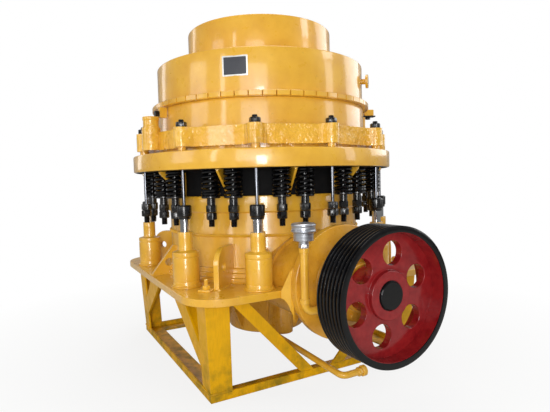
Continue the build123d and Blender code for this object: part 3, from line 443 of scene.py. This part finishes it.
# Frame flange: the broad machined ring that carries the adjusting ring, with twelve webs under it.
# The webs are plates welded between the drum and the flange, midway between the bolt stations.
flange_low, flange_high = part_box("frame_flange")
flange_r, lip_r, lip_z = flange_high.x, drum_r + 0.039, flange_low.z + 0.010
made("upper_flange", [turned([(inner_r, flange_low.z), (flange_r, flange_low.z),
                              (flange_r, flange_high.z), (lip_r, flange_high.z), (lip_r, lip_z),
                              (inner_r, lip_z)], 0.010, steps=2)], enamel, nodes=["frame_flange"])
eased("flange_webs", ["flange_ribs"], 0.002, enamel)
rib_tip, half_rib = flange_r - 0.055, 0.007
rib_beads = []
for azimuth in np.arange(15, 360, 30):
    for side in (-1, 1):
        off = np.array(on_circle(half_rib, azimuth + 90)) * side
        near, far = (np.array(on_circle(r, azimuth)) + off for r in (drum_r, rib_tip))
        rib_beads += [seam((*near, band_high.z), (*near, flange_low.z)),
                      seam((*near, flange_low.z), (*far, flange_low.z))]
made("flange_web_beads", rib_beads, enamel)


# Lugs and gussets: plates 32 and 28 mm thick, cut to shape and welded between the drum and the base
# plate. The four lugs at the corners have a lifting eye; the gussets stand midway along the sides.
eased("lifting_plates", ["lifting_lugs"], 0.004, enamel)
eased("sloping_gussets", ["side_gussets"], 0.003, enamel)
lug_top, foot_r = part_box("lifting_lugs")[1].z, drum_r + 3 * step_w
# azimuth, half thickness, reach and top of each plate
lugs = [(azimuth, 0.016, drum_r + 0.239, lug_top) for azimuth in (45, 135, 225, 315)]
gussets = [(azimuth, 0.014, drum_r + 0.172, foot + 0.185) for azimuth in (90, 180, 270)]
plate_beads = [round_bead(foot_r + 0.001, foot + 0.002, 0.007)]
for azimuth, half, reach, top in lugs + gussets:
    for side in (-1, 1):
        off = np.array(on_circle(half, azimuth + 90)) * side
        root, wall, tip = (np.array(on_circle(r, azimuth)) + off for r in (foot_r, drum_r, reach))
        plate_beads += [seam((*root, foot), (*tip, foot), 0.006),
                        seam((*wall, steps_top), (*wall, top - 0.004), 0.006)]
made("plate_weld_beads", plate_beads, enamel)


# Hold-down bolts: M24 studs through the base plate, one beside each lifting lug, with a square
# washer and a nut. They are painted with the machine.
def hexagon(place, across, low, high, turn=0.0, count=48):
    """Hexagon nut: at each angle the nearer of its six flats, the two rims cut back by a cone."""
    t = np.linspace(0, 2 * np.pi, count, endpoint=False)
    flat = across / 2 / np.cos((t + np.radians(turn)) % (np.pi / 3) - np.pi / 6)
    rim, cut, uncut = across / 2 * 0.97, across * 0.06, 1.0
    z = np.array([low, low + cut, high - cut, high])[:, None]
    limit = np.array([rim, uncut, uncut, rim])[:, None]
    return lofted(spun(np.minimum(flat, limit), z, place, count))


def stud(place, radius, low, high, pitch=0.004):
    """Threaded stud: the radius falls and rises by a tenth in each pitch, and the end is broken."""
    z = np.arange(low, high - pitch, pitch / 2)
    r = radius * np.where(np.arange(len(z)) % 2, 0.9, 1.0)
    outline = np.stack([np.append(r, radius * 0.85), np.append(z, high)], -1)
    return post(outline.tolist(), place, count=20)


def level_slab(outline, low, high, edge=0.003):
    """Level convex outline raised between two heights, its rims drawn in by edge to its middle."""
    outline = np.asarray(outline, float)
    middle = outline.mean(0)
    size = np.abs(outline - middle).max()
    share = np.array([1 - edge / size, 1, 1, 1 - edge / size])[:, None, None]
    z = np.array([low, low + edge, high - edge, high])[:, None, None]
    rings = middle + (outline - middle) * share
    return lofted(np.concatenate([rings, np.broadcast_to(z, (*rings.shape[:2], 1))], -1))


hold_r, beside_lug, washer_r, washer_top, nut_top = 0.925, 3.2, 0.0495, foot + 0.012, foot + 0.032
hold_down = []
for azimuth in (45, 135, 225, 315):
    place = np.array(on_circle(hold_r, azimuth - beside_lug))
    washer = np.array([on_circle(washer_r, azimuth + 45 + 90 * k) for k in range(4)])
    hold_down += [level_slab(place + washer, foot, washer_top),
                  hexagon(place, 0.040, washer_top, nut_top, azimuth),
                  stud(place, 0.012, nut_top - 0.001, nut_top + 0.034)]
made("hold_down_studs", hold_down, enamel, nodes=["hold_down_bolts"])


# Jacks: eight hydraulic cylinders on the base plate beside its corners, turned in two diameters on
# a welded foot ring. Their chromed rods end in black collars, which pull the tie bolts down.
def grained(name, roughness, scale, detail, tones, grain=0.5, rough=(), height=0.0, **shine):
    """Finish led by one noise: colour by tones, roughness by a range of it, height in metres.

    A scale of three numbers stretches the noise; rough is two places in it and their roughness.
    """
    material, tree, surface, where = finish(name, roughness, **shine)
    if isinstance(scale, tuple):
        where, scale = add(tree, "Mapping", {"Vector": where, "Scale": scale}), 1.0
    noise = add(tree, "TexNoise",
                {"Vector": where, "Scale": scale, "Detail": detail, "Roughness": grain})
    feed(surface["Base Color"], add(tree, "ValToRGB", {0: noise}, stops=tones))
    if rough:
        feed(surface["Roughness"],
             add(tree, "MapRange", {0: noise, **dict(zip((1, 2, 3, 4), rough))}))
    if height:
        feed(surface["Normal"], add(tree, "Bump", {"Height": noise, "Distance": height}))
    return material


# sprayed thin over machined steel: almost black, with brown dust about 8 mm across in the hollows
black_enamel = grained("black_enamel", 0.3, 120.0, 6.0,
                       ((0.45, "#050507"), (0.66, "#0A090C"), (0.88, "#17140F")), 0.65,
                       (0.35, 0.7, 0.16, 0.36), 0.0003, coat=0.2, coat_roughness=0.1)
# ground along the rod's round and plated: bright, with hairlines 1 mm apart round it
hard_chrome = grained("hard_chrome", 0.1, (8, 8, 900), 2.0, ((0.3, "#C8CACF"), (0.7, "#E2E3E6")),
                      rough=(0.3, 0.7, 0.05, 0.14), metallic=1.0)

bolt_circle = flange_r - 0.050
collar_low, collar_high = (corner.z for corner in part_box("rod_collars"))
rod_top, jack_top, step_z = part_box("jack_rods")[1].z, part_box("jack_barrels")[1].z, foot + 0.200
foot_ring_r, wide, slim, collar_r, neck_r, rod_r = 0.088, 0.076, 0.042, 0.042, 0.036, 0.027
bore, weld_z = rod_r + 0.002, foot + 0.010
round_weld = np.linspace(0, 2 * np.pi, 120, endpoint=False)
barrels, rods, collars = [], [], []
for azimuth in [45 + 90 * k + side * 15 for k in range(4) for side in (-1, 1)]:
    place = on_circle(bolt_circle, azimuth)
    barrels += [turned([
        (bore, foot), (foot_ring_r, foot), (foot_ring_r, foot + 0.008), (wide, foot + 0.008),
        (wide, foot + 0.030), (wide - 0.002, foot + 0.034), (wide, foot + 0.038),
        (wide, step_z - 0.030), (wide - 0.003, step_z - 0.027), (wide, step_z - 0.024),
        (wide, step_z), (slim + 0.012, step_z + 0.006), (slim, step_z + 0.010),
        (slim, jack_top - 0.040), (slim + 0.0005, jack_top - 0.038), (slim, jack_top),
        (bore, jack_top)], 0.0025, place, 56, 2)]
    barrels += [bead([(place[0] + wide * np.cos(a), place[1] + wide * np.sin(a), weld_z)
                      for a in round_weld], 0.005, True)]
    rods.append(post([(rod_r, jack_top - 0.090), (rod_r, rod_top)], place))
    collars.append(post([(neck_r, collar_low), (neck_r, collar_low + 0.012),
                         (collar_r, collar_low + 0.018), (collar_r, collar_high - 0.006),
                         (neck_r, collar_high)], place, 0.002, steps=2))
made("jack_cylinders", barrels, enamel, nodes=["jack_barrels"])
made("chromed_rods", rods, hard_chrome, "ring", ["jack_rods"])
made("black_collars", collars, black_enamel, "ring", ["rod_collars"])


# Countershaft housing: a casting that leaves the drum as a broad oval and ends round, under an
# arched rib. Its end flange is a plain turned ring, and eight hexagon screws hold the bearing cover
# on it.
eased("housing_casting", ["countershaft_housing"], 0.004, cast_enamel)
shaft_z = 0.601
cover_low, cover_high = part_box("countershaft_endplate")


def on_shaft(shell):
    """A shell made about the upright axis, laid on the countershaft's axis with its top to -Y."""
    points, faces = shell
    return np.stack([points[:, 0], -points[:, 2], shaft_z - points[:, 1]], -1), faces


end_in, end_out = -cover_high.y, -cover_high.y + 0.050
bearing_out, seal_out = -cover_low.y - 0.040, -cover_low.y
seal_in_r, seal_r, screw_circle, bearing_r, end_r = 0.060, 0.130, 0.160, 0.190, 0.322
cover = [on_shaft(turned([(seal_in_r, end_in), (end_r, end_in), (end_r, end_out),
                          (bearing_r, end_out), (bearing_r, bearing_out), (seal_r, bearing_out),
                          (seal_r, seal_out), (seal_in_r, seal_out)], 0.005, count=128))]
cover += [on_shaft(hexagon(on_circle(screw_circle, 45 * k + 22), 0.026, bearing_out,
                           bearing_out + 0.014)) for k in range(8)]
made("end_flange_and_cover", cover, cast_enamel, nodes=["countershaft_endplate"])


# Breather: a standpipe from the bearing cover, threaded into a neck under a pressed metal cup in
# two parts, the upper one wider and rolled at its rims.

# pressed sheet, handled and a little greasy: silver-grey with faint rings of the press 3 mm apart
pressed_metal = grained("pressed_aluminium", 0.34, (12, 12, 320), 3.0,
                        ((0.3, "#9A9DA4"), (0.55, "#B9BCC3"), (0.8, "#D0D2D6")),
                        rough=(0.3, 0.7, 0.26, 0.48), metallic=0.85)
cup_low, cup_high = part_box("breather_cup")
cup = (cup_high.x - 0.034, (cup_low.y + cup_high.y) / 2)
cup_r, cup_foot, cup_top = 0.064, cup_low.z - 0.016, cup_high.z - 0.026
neck, neck_r, shade_r = cup_foot + 0.018, 0.026, cup_r - 0.003
made("breather_cup_pressed", [post([
    (neck_r, cup_foot), (neck_r, neck), (cup_r * 0.80, neck), (cup_r * 0.82, neck + 0.040),
    (cup_r * 0.88, neck + 0.044), (cup_r, neck + 0.046), (cup_r, neck + 0.054),
    (shade_r, neck + 0.057), (shade_r, cup_top - 0.018), (cup_r, cup_top - 0.014),
    (cup_r, cup_top - 0.006), (cup_r * 0.86, cup_top)], cup, 0.0025, 64, 3)],
     pressed_metal, nodes=["breather_cup"])
elbow_z, bend, pipe_r, pipe_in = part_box("breather_pipe")[0].z + 0.021, 0.050, 0.021, -0.150
arc = np.linspace(0, np.pi / 2, 9)
elbow = np.stack([cup[0] + bend - bend * np.sin(arc), np.full(9, cup[1]),
                  elbow_z + bend - bend * np.cos(arc)], -1)
standpipe = np.concatenate([[(pipe_in, cup[1], elbow_z)], elbow, [(*cup, cup_foot)]])
made("breather_standpipe", [
    swept(standpipe, pipe_r, 24),
    post(ringed(cup_foot - 0.048, cup_foot - 0.020, neck_r), cup),
    post(ringed(elbow_z + bend - 0.006, elbow_z + bend + 0.020, neck_r), cup)],
     enamel, nodes=["breather_pipe"])
made("breather_neck_nut", [hexagon(cup, 0.046, cup_foot - 0.022, cup_foot + 0.002)],
     pressed_metal)


# Oil return pipe: steel tube that runs level from the drain boss to an elbow in front of the
# housing, with a short run to its end fitting. It is painted with the machine.
oil_y, oil_z, oil_r, oil_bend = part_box("oil_return_pipe")[0].y + 0.020, 0.130, 0.018, 0.040
drain, turn_at, end_at = (np.array([x, y, oil_z]) for x, y in (
    (-0.085, -0.300), (-0.106, oil_y), (0.022, oil_y)))
leg_in = (drain - turn_at) / np.linalg.norm(drain - turn_at)
leg_out = np.array([1.0, 0, 0])
s = np.linspace(0, 1, 11)[:, None]
rounded = turn_at + leg_in * oil_bend * (1 - s) ** 2 + leg_out * oil_bend * s ** 2
oil_run = np.concatenate([[drain], rounded, [end_at]])


def along_x(shell, place):
    """A shell made about the upright axis, laid along +X from a place."""
    points, faces = shell
    laid = np.stack([place[0] + points[:, 2], place[1] + points[:, 1], place[2] + points[:, 0]], -1)
    return laid, faces


made("oil_return_tube", [swept(oil_run, oil_r, 24),
                         along_x(post(ringed(-0.004, 0.024, 0.029, 0.004)), end_at),
                         along_x(hexagon((0, 0), 0.042, -0.030, -0.004), end_at)], enamel,
     nodes=["oil_return_pipe"])


# Sheave: cast iron, its grooved rim enamelled black and its disc a deep red, with six round
# windows. A bush under a plain black cap holds it on the ground end of the countershaft.

# sprayed thick over turned iron: near black and glossy, its film waving about 17 mm apart
sheave_black = grained("black_gloss_enamel", 0.14, 60.0, 3.0,
                       ((0.35, "#050507"), (0.7, "#0B0B0E")), height=0.0004, specular=0.35)
# the same enamel in deep red over cast iron, which waves gently about 38 mm apart
sheave_red = grained("dark_red_gloss_enamel", 0.14, 26.0, 4.0,
                     ((0.3, "#7C1217"), (0.55, "#8A1A1D"), (0.8, "#962222")), height=0.0009)
# ground bar, grey and bright, with rings of the wheel about 2 mm apart along the shaft
ground_steel = grained("ground_steel", 0.3, (30, 600, 30), 3.0,
                       ((0.3, "#7E7F82"), (0.7, "#A9AAAD")), metallic=1.0)

rim_low, rim_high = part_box("sheave_rim")
back, front, sheave_r = -rim_high.y, -rim_low.y, rim_high.x
grooves, half_mouth, half_root = 7, 0.009, 0.0045
rim_in, groove_r, pitch = sheave_r - 0.032, sheave_r - 0.016, (front - back) / grooves
outline = [(rim_in, back), (sheave_r, back)]
for k in range(grooves):
    middle = back + pitch * (k + 0.5)
    outline += [(sheave_r, middle - half_mouth), (groove_r, middle - half_root),
                (groove_r, middle + half_root), (sheave_r, middle + half_mouth)]
outline += [(sheave_r, front), (rim_in, front)]
made("grooved_rim", [on_shaft(turned(outline, 0.0015, count=160, steps=2))], sheave_black,
     "sheave", ["sheave_rim"])
painted = plain_ring(rim_in - 0.002, rim_in + 0.001, back + 0.002, front - 0.004)
made("rim_inside_red", [on_shaft(turned(painted, 0.0, count=160))], sheave_red, "sheave")
disc = eased("red_disc", ["sheave_disc"], 0.004, sheave_red, "sheave")
# the disc and its hub sit deep in the rim, and the windows stand a few degrees round from level
set_back, window_turn, shaft_axis = 0.045, np.radians(-4.5), Vector((0, 0, shaft_z))
disc.data.transform(Matrix.Translation(shaft_axis + Vector((0, set_back, 0)))
                    @ Matrix.Rotation(window_turn, 4, "Y") @ Matrix.Translation(-shaft_axis))
hub_front, hub_r, cap_edge_r, shaft_r = front - 0.004 - set_back, 0.074, 0.071, 0.055
bush = [on_shaft(turned(plain_ring(shaft_r, hub_r, back, hub_front), 0.002, count=64)),
        on_shaft(post(ringed(hub_front - 0.002, hub_front + 0.010, cap_edge_r, 0.004)))]
made("bush_and_cap", bush, sheave_black, "sheave", ["sheave_bush"])
shaft_back = -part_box("countershaft")[1].y
bar = post([(shaft_r, shaft_back), (shaft_r, hub_front - 0.004)], (0, 0), 0.002, 64, 2)
made("countershaft_ground", [on_shaft(bar)], ground_steel, "sheave",
     ["countershaft"])


# Springs: twenty-four coils of round black wire between the flange and their seats, in pairs beside
# the tie bolts. Each has a bolt through it with a seat plate and two nuts under it. The wall of the
# chamber behind them and the flange's underside are black, a painted shade of the deep shadow
# there.

# painted shade: a matt near-black sheet with brown patches about 60 mm wide, standing for the
# shadow under the flange
painted_shade_black = grained("painted_shade_black", 0.85, 16.0, 6.0,
                       ((0.4, "#0B0B0C"), (0.6, "#121112"), (0.8, "#1F1A15")), 0.6, specular=0.2)
# painted shade: a thin black ring under the flange stands for the shadow over the springs
shade_under_flange = plain_ring(band_in, flange_r - 0.016, flange_low.z - 0.0015, flange_low.z + 0.004)
made("flange_underside_painted_shade", [turned(shade_under_flange, 0.0)], painted_shade_black)
# painted shade: the chamber wall behind the springs is black, standing for the deep shadow there
made("chamber_wall_painted_shade", [turned(plain_ring(inner_r, drum_r, wall_low.z, wall_high.z), 0.0),
                           round_bead(drum_r, wall_high.z - 0.002, 0.008)],
     painted_shade_black, nodes=["chamber_wall"])
spring_low, spring_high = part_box("springs")
spring_r, wire, turns = 0.056, 0.009, 6.0
spring_circle = band_r + 0.042 + spring_r
spring_azimuths = [30 * k + s * 10 for k in range(12) for s in (-1, 1)]


def coil(place, low, high, start):
    """Coil spring: the angle grows evenly, and so does the height but in the flat end turns."""
    t = np.linspace(0, 1, int(22 * turns))
    flat, rise, r = 0.75 / turns, 0.6 * wire, spring_r - wire
    climb = np.clip((t - flat) / (1 - 2 * flat), 0, 1)
    bottom, top = np.minimum(t / flat, 1) * rise, np.clip((t - 1 + flat) / flat, 0, 1) * rise
    z = low + wire + bottom + top + climb * (high - low - 2 * wire - 2 * rise)
    a = start + 2 * np.pi * turns * t
    return swept(np.stack([place[0] + r * np.cos(a), place[1] + r * np.sin(a), z], -1), wire, 8)


coils, bolts = [], []
seat_z, bolt_z, shank_top = spring_low.z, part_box("spring_bolts")[0].z, flange_high.z - 0.056
seat_r, sleeve_r, shank_r, thread_r, nut_across = 0.054, 0.024, 0.015, 0.0175, 0.055
for k, azimuth in enumerate(spring_azimuths):
    place = on_circle(spring_circle, azimuth)
    coils.append(coil(place, seat_z, spring_high.z, np.radians(azimuth * 7 + 40 * k)))
    bolts += [post(ringed(seat_z - 0.014, seat_z, seat_r), place),
              post([(shank_r, bolt_z + 0.120), (shank_r, shank_top)], place, count=24),
              stud(place, thread_r, bolt_z, bolt_z + 0.050),
              hexagon(place, nut_across, bolt_z + 0.040, bolt_z + 0.081, azimuth),
              hexagon(place, nut_across, bolt_z + 0.083, bolt_z + 0.124, azimuth + 25),
              post(ringed(bolt_z + 0.120, seat_z - 0.013, sleeve_r), place, count=32)]
springs_piece = made("coil_springs", coils, sheave_black, "main_frame",
                     ["springs"])
# the springs are 151 mm long at rest and 101 mm with the ring at its highest
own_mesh(springs_piece)
made("spring_bolts_and_nuts", bolts, black_enamel, "ring", ["spring_bolts"])


# Adjusting ring: a twelve-sided casting that rests on the flange, with a boss and angled shoulders
# at each tie bolt. The bolts are drawn bright, with a black nut and washer above it, and four of
# them have plain nuts below.

# drawn through a die: bright and mirror-like, with faint lines 5 mm apart that run along the bar
bright_drawn = grained("bright_drawn_steel", 0.05, (200, 200, 5), 1.0,
                       ((0.3, "#5E6066"), (0.7, "#74767C")), metallic=1.0)
eased("twelve_sided_ring", ["adjusting_ring"], 0.006, wavy_enamel, "ring")
tie_low, tie_high = (corner.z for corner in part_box("tie_bolts"))
boss_top, tie_r = tie_high - 0.044, 0.0095
tie_rods, nuts, tails = [], [], []
for k in range(12):
    place = on_circle(bolt_circle, 30 * k)
    tie_rods.append(post([(tie_r, tie_low), (tie_r, boss_top)], place, count=24))
    nuts += [post(ringed(boss_top, boss_top + 0.005, 0.033, 0.001), place),
             hexagon(place, 0.056, boss_top + 0.004, boss_top + 0.030, 17 * k),
             stud(place, 0.016, boss_top + 0.028, tie_high)]
made("tie_rods", tie_rods, bright_drawn, "ring")
made("tie_bolt_nuts", nuts, black_enamel, "ring", ["tie_bolts"])
nut_low, nut_high = (corner.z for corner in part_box("lower_nuts"))
for k in range(4):
    place = on_circle(bolt_circle, 90 * k)
    tails += [stud(place, thread_r, nut_low, nut_high - 0.075),
              hexagon(place, nut_across, nut_high - 0.080, nut_high - 0.041, 90 * k),
              hexagon(place, nut_across, nut_high - 0.039, nut_high, 90 * k + 25)]
made("lower_tie_nuts", tails, black_enamel, "ring", ["lower_nuts"])


# Pushers: two upright hydraulic cylinders on pads of the adjusting ring, each with an arm and a
# black pawl that turn the toothed ring from below. A post between them carries the block that locks
# the ring.
def strip(start, end, half):
    """Corners of a level strip between two points, half its width to each side."""
    return [start - half, end - half, end + half, start + half]


drum_skin, tooth_reach, head_r, tube_r = 0.727, 0.763, 0.050, 0.047
cylinder_low, cylinder_top, under_teeth = boss_top + 0.026, boss_top + 0.097, boss_top + 0.160
cylinders, pawls = [], []
for azimuth in (98, 278):
    place = on_circle(drum_skin + 0.111, azimuth)
    cylinders += [post([(head_r, cylinder_low), (head_r, cylinder_low + 0.010),
                        (tube_r, cylinder_low + 0.013), (tube_r, cylinder_top - 0.024),
                        (head_r, cylinder_top - 0.021), (head_r, cylinder_top - 0.002)],
                       place, 0.002, 56, 2),
                  post(ringed(cylinder_top - 0.003, cylinder_top, 0.036, 0.001), place)]
    root, edge, tip = (np.array(on_circle(tooth_reach + r, azimuth))
                       for r in (-0.028, 0.020, 0.048))
    half_arm, half_pawl = (np.array(on_circle(half, azimuth + 90)) for half in (0.0145, 0.012))
    cylinders += [level_slab(strip(root, edge, half_arm), cylinder_top - 0.001, under_teeth)]
    pawls += [level_slab(strip(edge, tip, half_pawl), cylinder_top + 0.006, under_teeth - 0.024)]
lock, plate_z, block_top = 68, boss_top + 0.152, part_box("ring_pushers")[1].z
root, near, far, tip = (np.array(on_circle(r, lock)) for r in (
    drum_skin + 0.007, tooth_reach + 0.005, tooth_reach + 0.075, tooth_reach + 0.089))
half_block = np.array(on_circle(0.027, lock + 90))
cylinders += [level_slab(strip(near, far, half_block), plate_z - 0.001, block_top, 0.004),
              post(ringed(boss_top, plate_z - 0.008, 0.024), on_circle(drum_skin + 0.031, lock))]
pawls += [level_slab(strip(root, tip, half_block), plate_z - 0.009, plate_z, 0.002),
          hexagon(on_circle(tooth_reach + 0.040, lock), 0.032, plate_z - 0.026, plate_z - 0.008)]
made("pusher_cylinders", cylinders, enamel, "ring", nodes=["ring_pushers"])
made("black_pawls", pawls, black_enamel, "ring")


# Bowl: the lower drum turns in the adjusting ring, and carries the ring of teeth, the cap with its
# feed hopper, and inside them the funnel and the liner of the crushing chamber.
low_low, low_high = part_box("lower_drum")
skirt_low, skirt_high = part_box("bowl_skirt")
tooth_low, tooth_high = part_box("toothed_ring")
liner_low, liner_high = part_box("bowl_liner")
cap_r, cap_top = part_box("cap_top")[1].x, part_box("cap_top")[1].z
hopper_r, hopper_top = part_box("feed_hopper")[1].x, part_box("feed_hopper")[1].z
low_r, tooth_r, throat_r, liner_wall, cap_wall = low_high.x, tooth_high.x, 0.345, 0.045, 0.025
hopper_in, throat_out, skirt_r = hopper_r - 0.026, throat_r + liner_wall, skirt_high.x
slope = (liner_high.x - throat_out) / (liner_high.z - liner_low.z)
liner_at = [throat_out + slope * (liner_high.z - z) for z in (skirt_low.z, low_low.z, low_high.z)]
made("bowl_drum", [turned([(liner_at[1], low_low.z), (low_r, low_low.z), (low_r, low_high.z),
                           (liner_at[2], low_high.z)], 0.004)], enamel, "bowl",
     nodes=["lower_drum"])
made("bowl_lower_end", [turned([(liner_at[0], skirt_low.z), (skirt_r, skirt_low.z),
                                (skirt_r, skirt_high.z), (liner_at[1], skirt_high.z)], 0.004)],
     enamel, "bowl", nodes=["bowl_skirt"])


def toothed(teeth, root, tip, inner, low, high, turn, edge=0.003, gap=0.09, steps=4):
    """Ring of block teeth, turned by degrees: the tip's radius but for a round gap beside each."""
    share = np.concatenate([np.linspace(0, gap, steps + 1), np.linspace(gap, 1, 5)[1:-1]])
    depth = np.where(share <= gap, np.sqrt(np.clip(1 - (2 * share / gap - 1) ** 2, 0, 1)), 0.0)
    t = ((np.arange(teeth)[:, None] + share) * 2 * np.pi / teeth).ravel() + np.radians(turn)
    r = np.tile(tip - (tip - root) * depth, teeth)
    within = np.full_like(r, inner)
    rows = [(within, low), (r - edge, low), (r, low + edge), (r, high - edge), (r - edge, high),
            (within, high)]
    return lofted(np.stack([np.stack([row * np.sin(t), -row * np.cos(t), np.full_like(t, z)], -1)
                            for row, z in rows]), True)


made("ring_of_teeth", [toothed(60, tooth_r - 0.026, tooth_r, throat_r + 0.080, tooth_low.z,
                               tooth_high.z, 2.9)], enamel, "bowl", nodes=["toothed_ring"])
cap_under, cap_in = cap_top - cap_wall, cap_r - cap_wall
made("adjustment_cap", [turned([(cap_in, tooth_high.z), (cap_r, tooth_high.z), (cap_r, cap_top),
                                (hopper_in, cap_top), (hopper_in, cap_under),
                                (cap_in, cap_under)], 0.006)],
     enamel, "bowl", nodes=["cap_drum", "cap_top"])
made("hopper_shell", [turned(plain_ring(hopper_in, hopper_r, cap_top, hopper_top), 0.005)],
     enamel, "bowl", nodes=["feed_hopper"])
made("bowl_weld_beads", [round_bead(hopper_r, cap_top, 0.006),
                         round_bead(cap_r, tooth_high.z + 0.001, 0.005)], enamel, "bowl")

# worn bare by stone: grey-brown manganese steel, with rust in the casting's pits of about 12 mm
bare_casting = grained("bare_manganese_casting", 0.5, 80.0, 8.0,
                       ((0.35, "#4A2F20"), (0.5, "#5C5550"), (0.75, "#7D7873")), 0.65,
                       (0.3, 0.7, 0.75, 0.4), 0.002, metallic=0.75)
made("feed_funnel", [turned([(hopper_in, cap_under), (hopper_in + 0.020, cap_under),
                             (throat_r + 0.020, liner_high.z), (throat_r, liner_high.z)], 0.002)],
     bare_casting, "bowl", ["feed_cone"])
made("chamber_liner", [turned([(throat_r, liner_high.z), (throat_out, liner_high.z),
                               (liner_high.x, liner_low.z),
                               (liner_high.x - liner_wall, liner_low.z)], 0.002)],
     bare_casting, "bowl", ["bowl_liner"])
eased("lifting_trunnions", ["cap_trunnions"], 0.003, enamel, "bowl")


# Nameplate: thin anodised plate bent to the cap and fastened flat on it. It is blank: a dark field
# inside a pale rim.

# rolled aluminium under a clear anodised film: pale silver, with lines of the rolls 2 mm apart
anodised = grained("anodised_aluminium", 0.35, (20, 20, 500), 2.0,
                   ((0.3, "#CFCFCB"), (0.7, "#E6E6E2")), metallic=0.7)
# etched and filled with ink: a matt blue-black whose grain is about 2 mm wide
field_ink = grained("etched_dark_field", 0.42, 500.0, 3.0, ((0.3, "#2C2D33"), (0.7, "#41434B")))


def curved_plate(radius, azimuth, height, wide, tall, thick, corner):
    """Plate bent to a cylinder: a rounded rectangle of arc length and height with a broken rim."""
    a, b = wide / 2, tall / 2
    rim = softened([(-a, -b), (a, -b), (a, b), (-a, b)], corner, 5)
    rings = []
    for inset, lift in ((0, 0), (0, thick * 0.7), (thick * 0.3, thick)):
        u, v = (rim * (1 - inset / np.array([a, b]))).T
        turn, out = np.radians(azimuth) + u / radius, radius + lift
        rings.append(np.stack([out * np.sin(turn), -out * np.cos(turn), height + v], -1))
    return rings


def filled(rings, radius, shrink=(0.75, 0.5, 0.25, 0.02)):
    """The rings closed over their middle by ever smaller copies at the cylinder's radius."""
    last = rings[-1]
    middle = last.mean(0)
    more = []
    for share in shrink:
        ring = middle + (last - middle) * share
        flat = np.linalg.norm(ring[:, :2], axis=1, keepdims=True)
        ring[:, :2] *= radius / flat
        more.append(ring)
    return lofted(np.stack(rings + more))


plate_low, plate_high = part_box("nameplate")
mark_z, mark_azimuth = (plate_low.z + plate_high.z) / 2, -39
plate_thick, field_rise, field_thick = 0.003, 0.0026, 0.0012
rim_rings = curved_plate(cap_r, mark_azimuth, mark_z, 0.150, 0.116, plate_thick, 0.006)
made("nameplate_rim", [filled(rim_rings, cap_r + plate_thick)], anodised, "bowl",
     ["nameplate"])
field_r = cap_r + field_rise
field_rings = curved_plate(field_r, mark_azimuth, mark_z, 0.132, 0.098, field_thick, 0.004)
made("nameplate_field", [filled(field_rings, field_r + field_thick)], field_ink, "bowl")


# Crushing head: the mantle of manganese steel on the eccentric, with the dished plate on top that
# spreads the feed. Only the dish shows, down through the hopper.
head_low, head_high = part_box("crushing_head")
dish_low, dish_high = (corner.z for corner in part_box("feed_plate"))
mantle_r, neck_r, dish_r, dish_floor = head_high.x, 0.150, 0.190, dish_low + 0.024
made("mantle", [post([(mantle_r, head_low.z), (mantle_r, head_low.z + 0.040),
                      (neck_r, head_high.z)], (0, 0), 0.004, 128, 2)],
     bare_casting, nodes=["crushing_head"])
made("feed_dish", [post([(neck_r, dish_low), (dish_r, dish_floor), (dish_r, dish_high),
                         (dish_r - 0.024, dish_high), (0.126, dish_floor)], (0, 0), 0.003, 96, 2)],
     bare_casting, nodes=["feed_plate"])
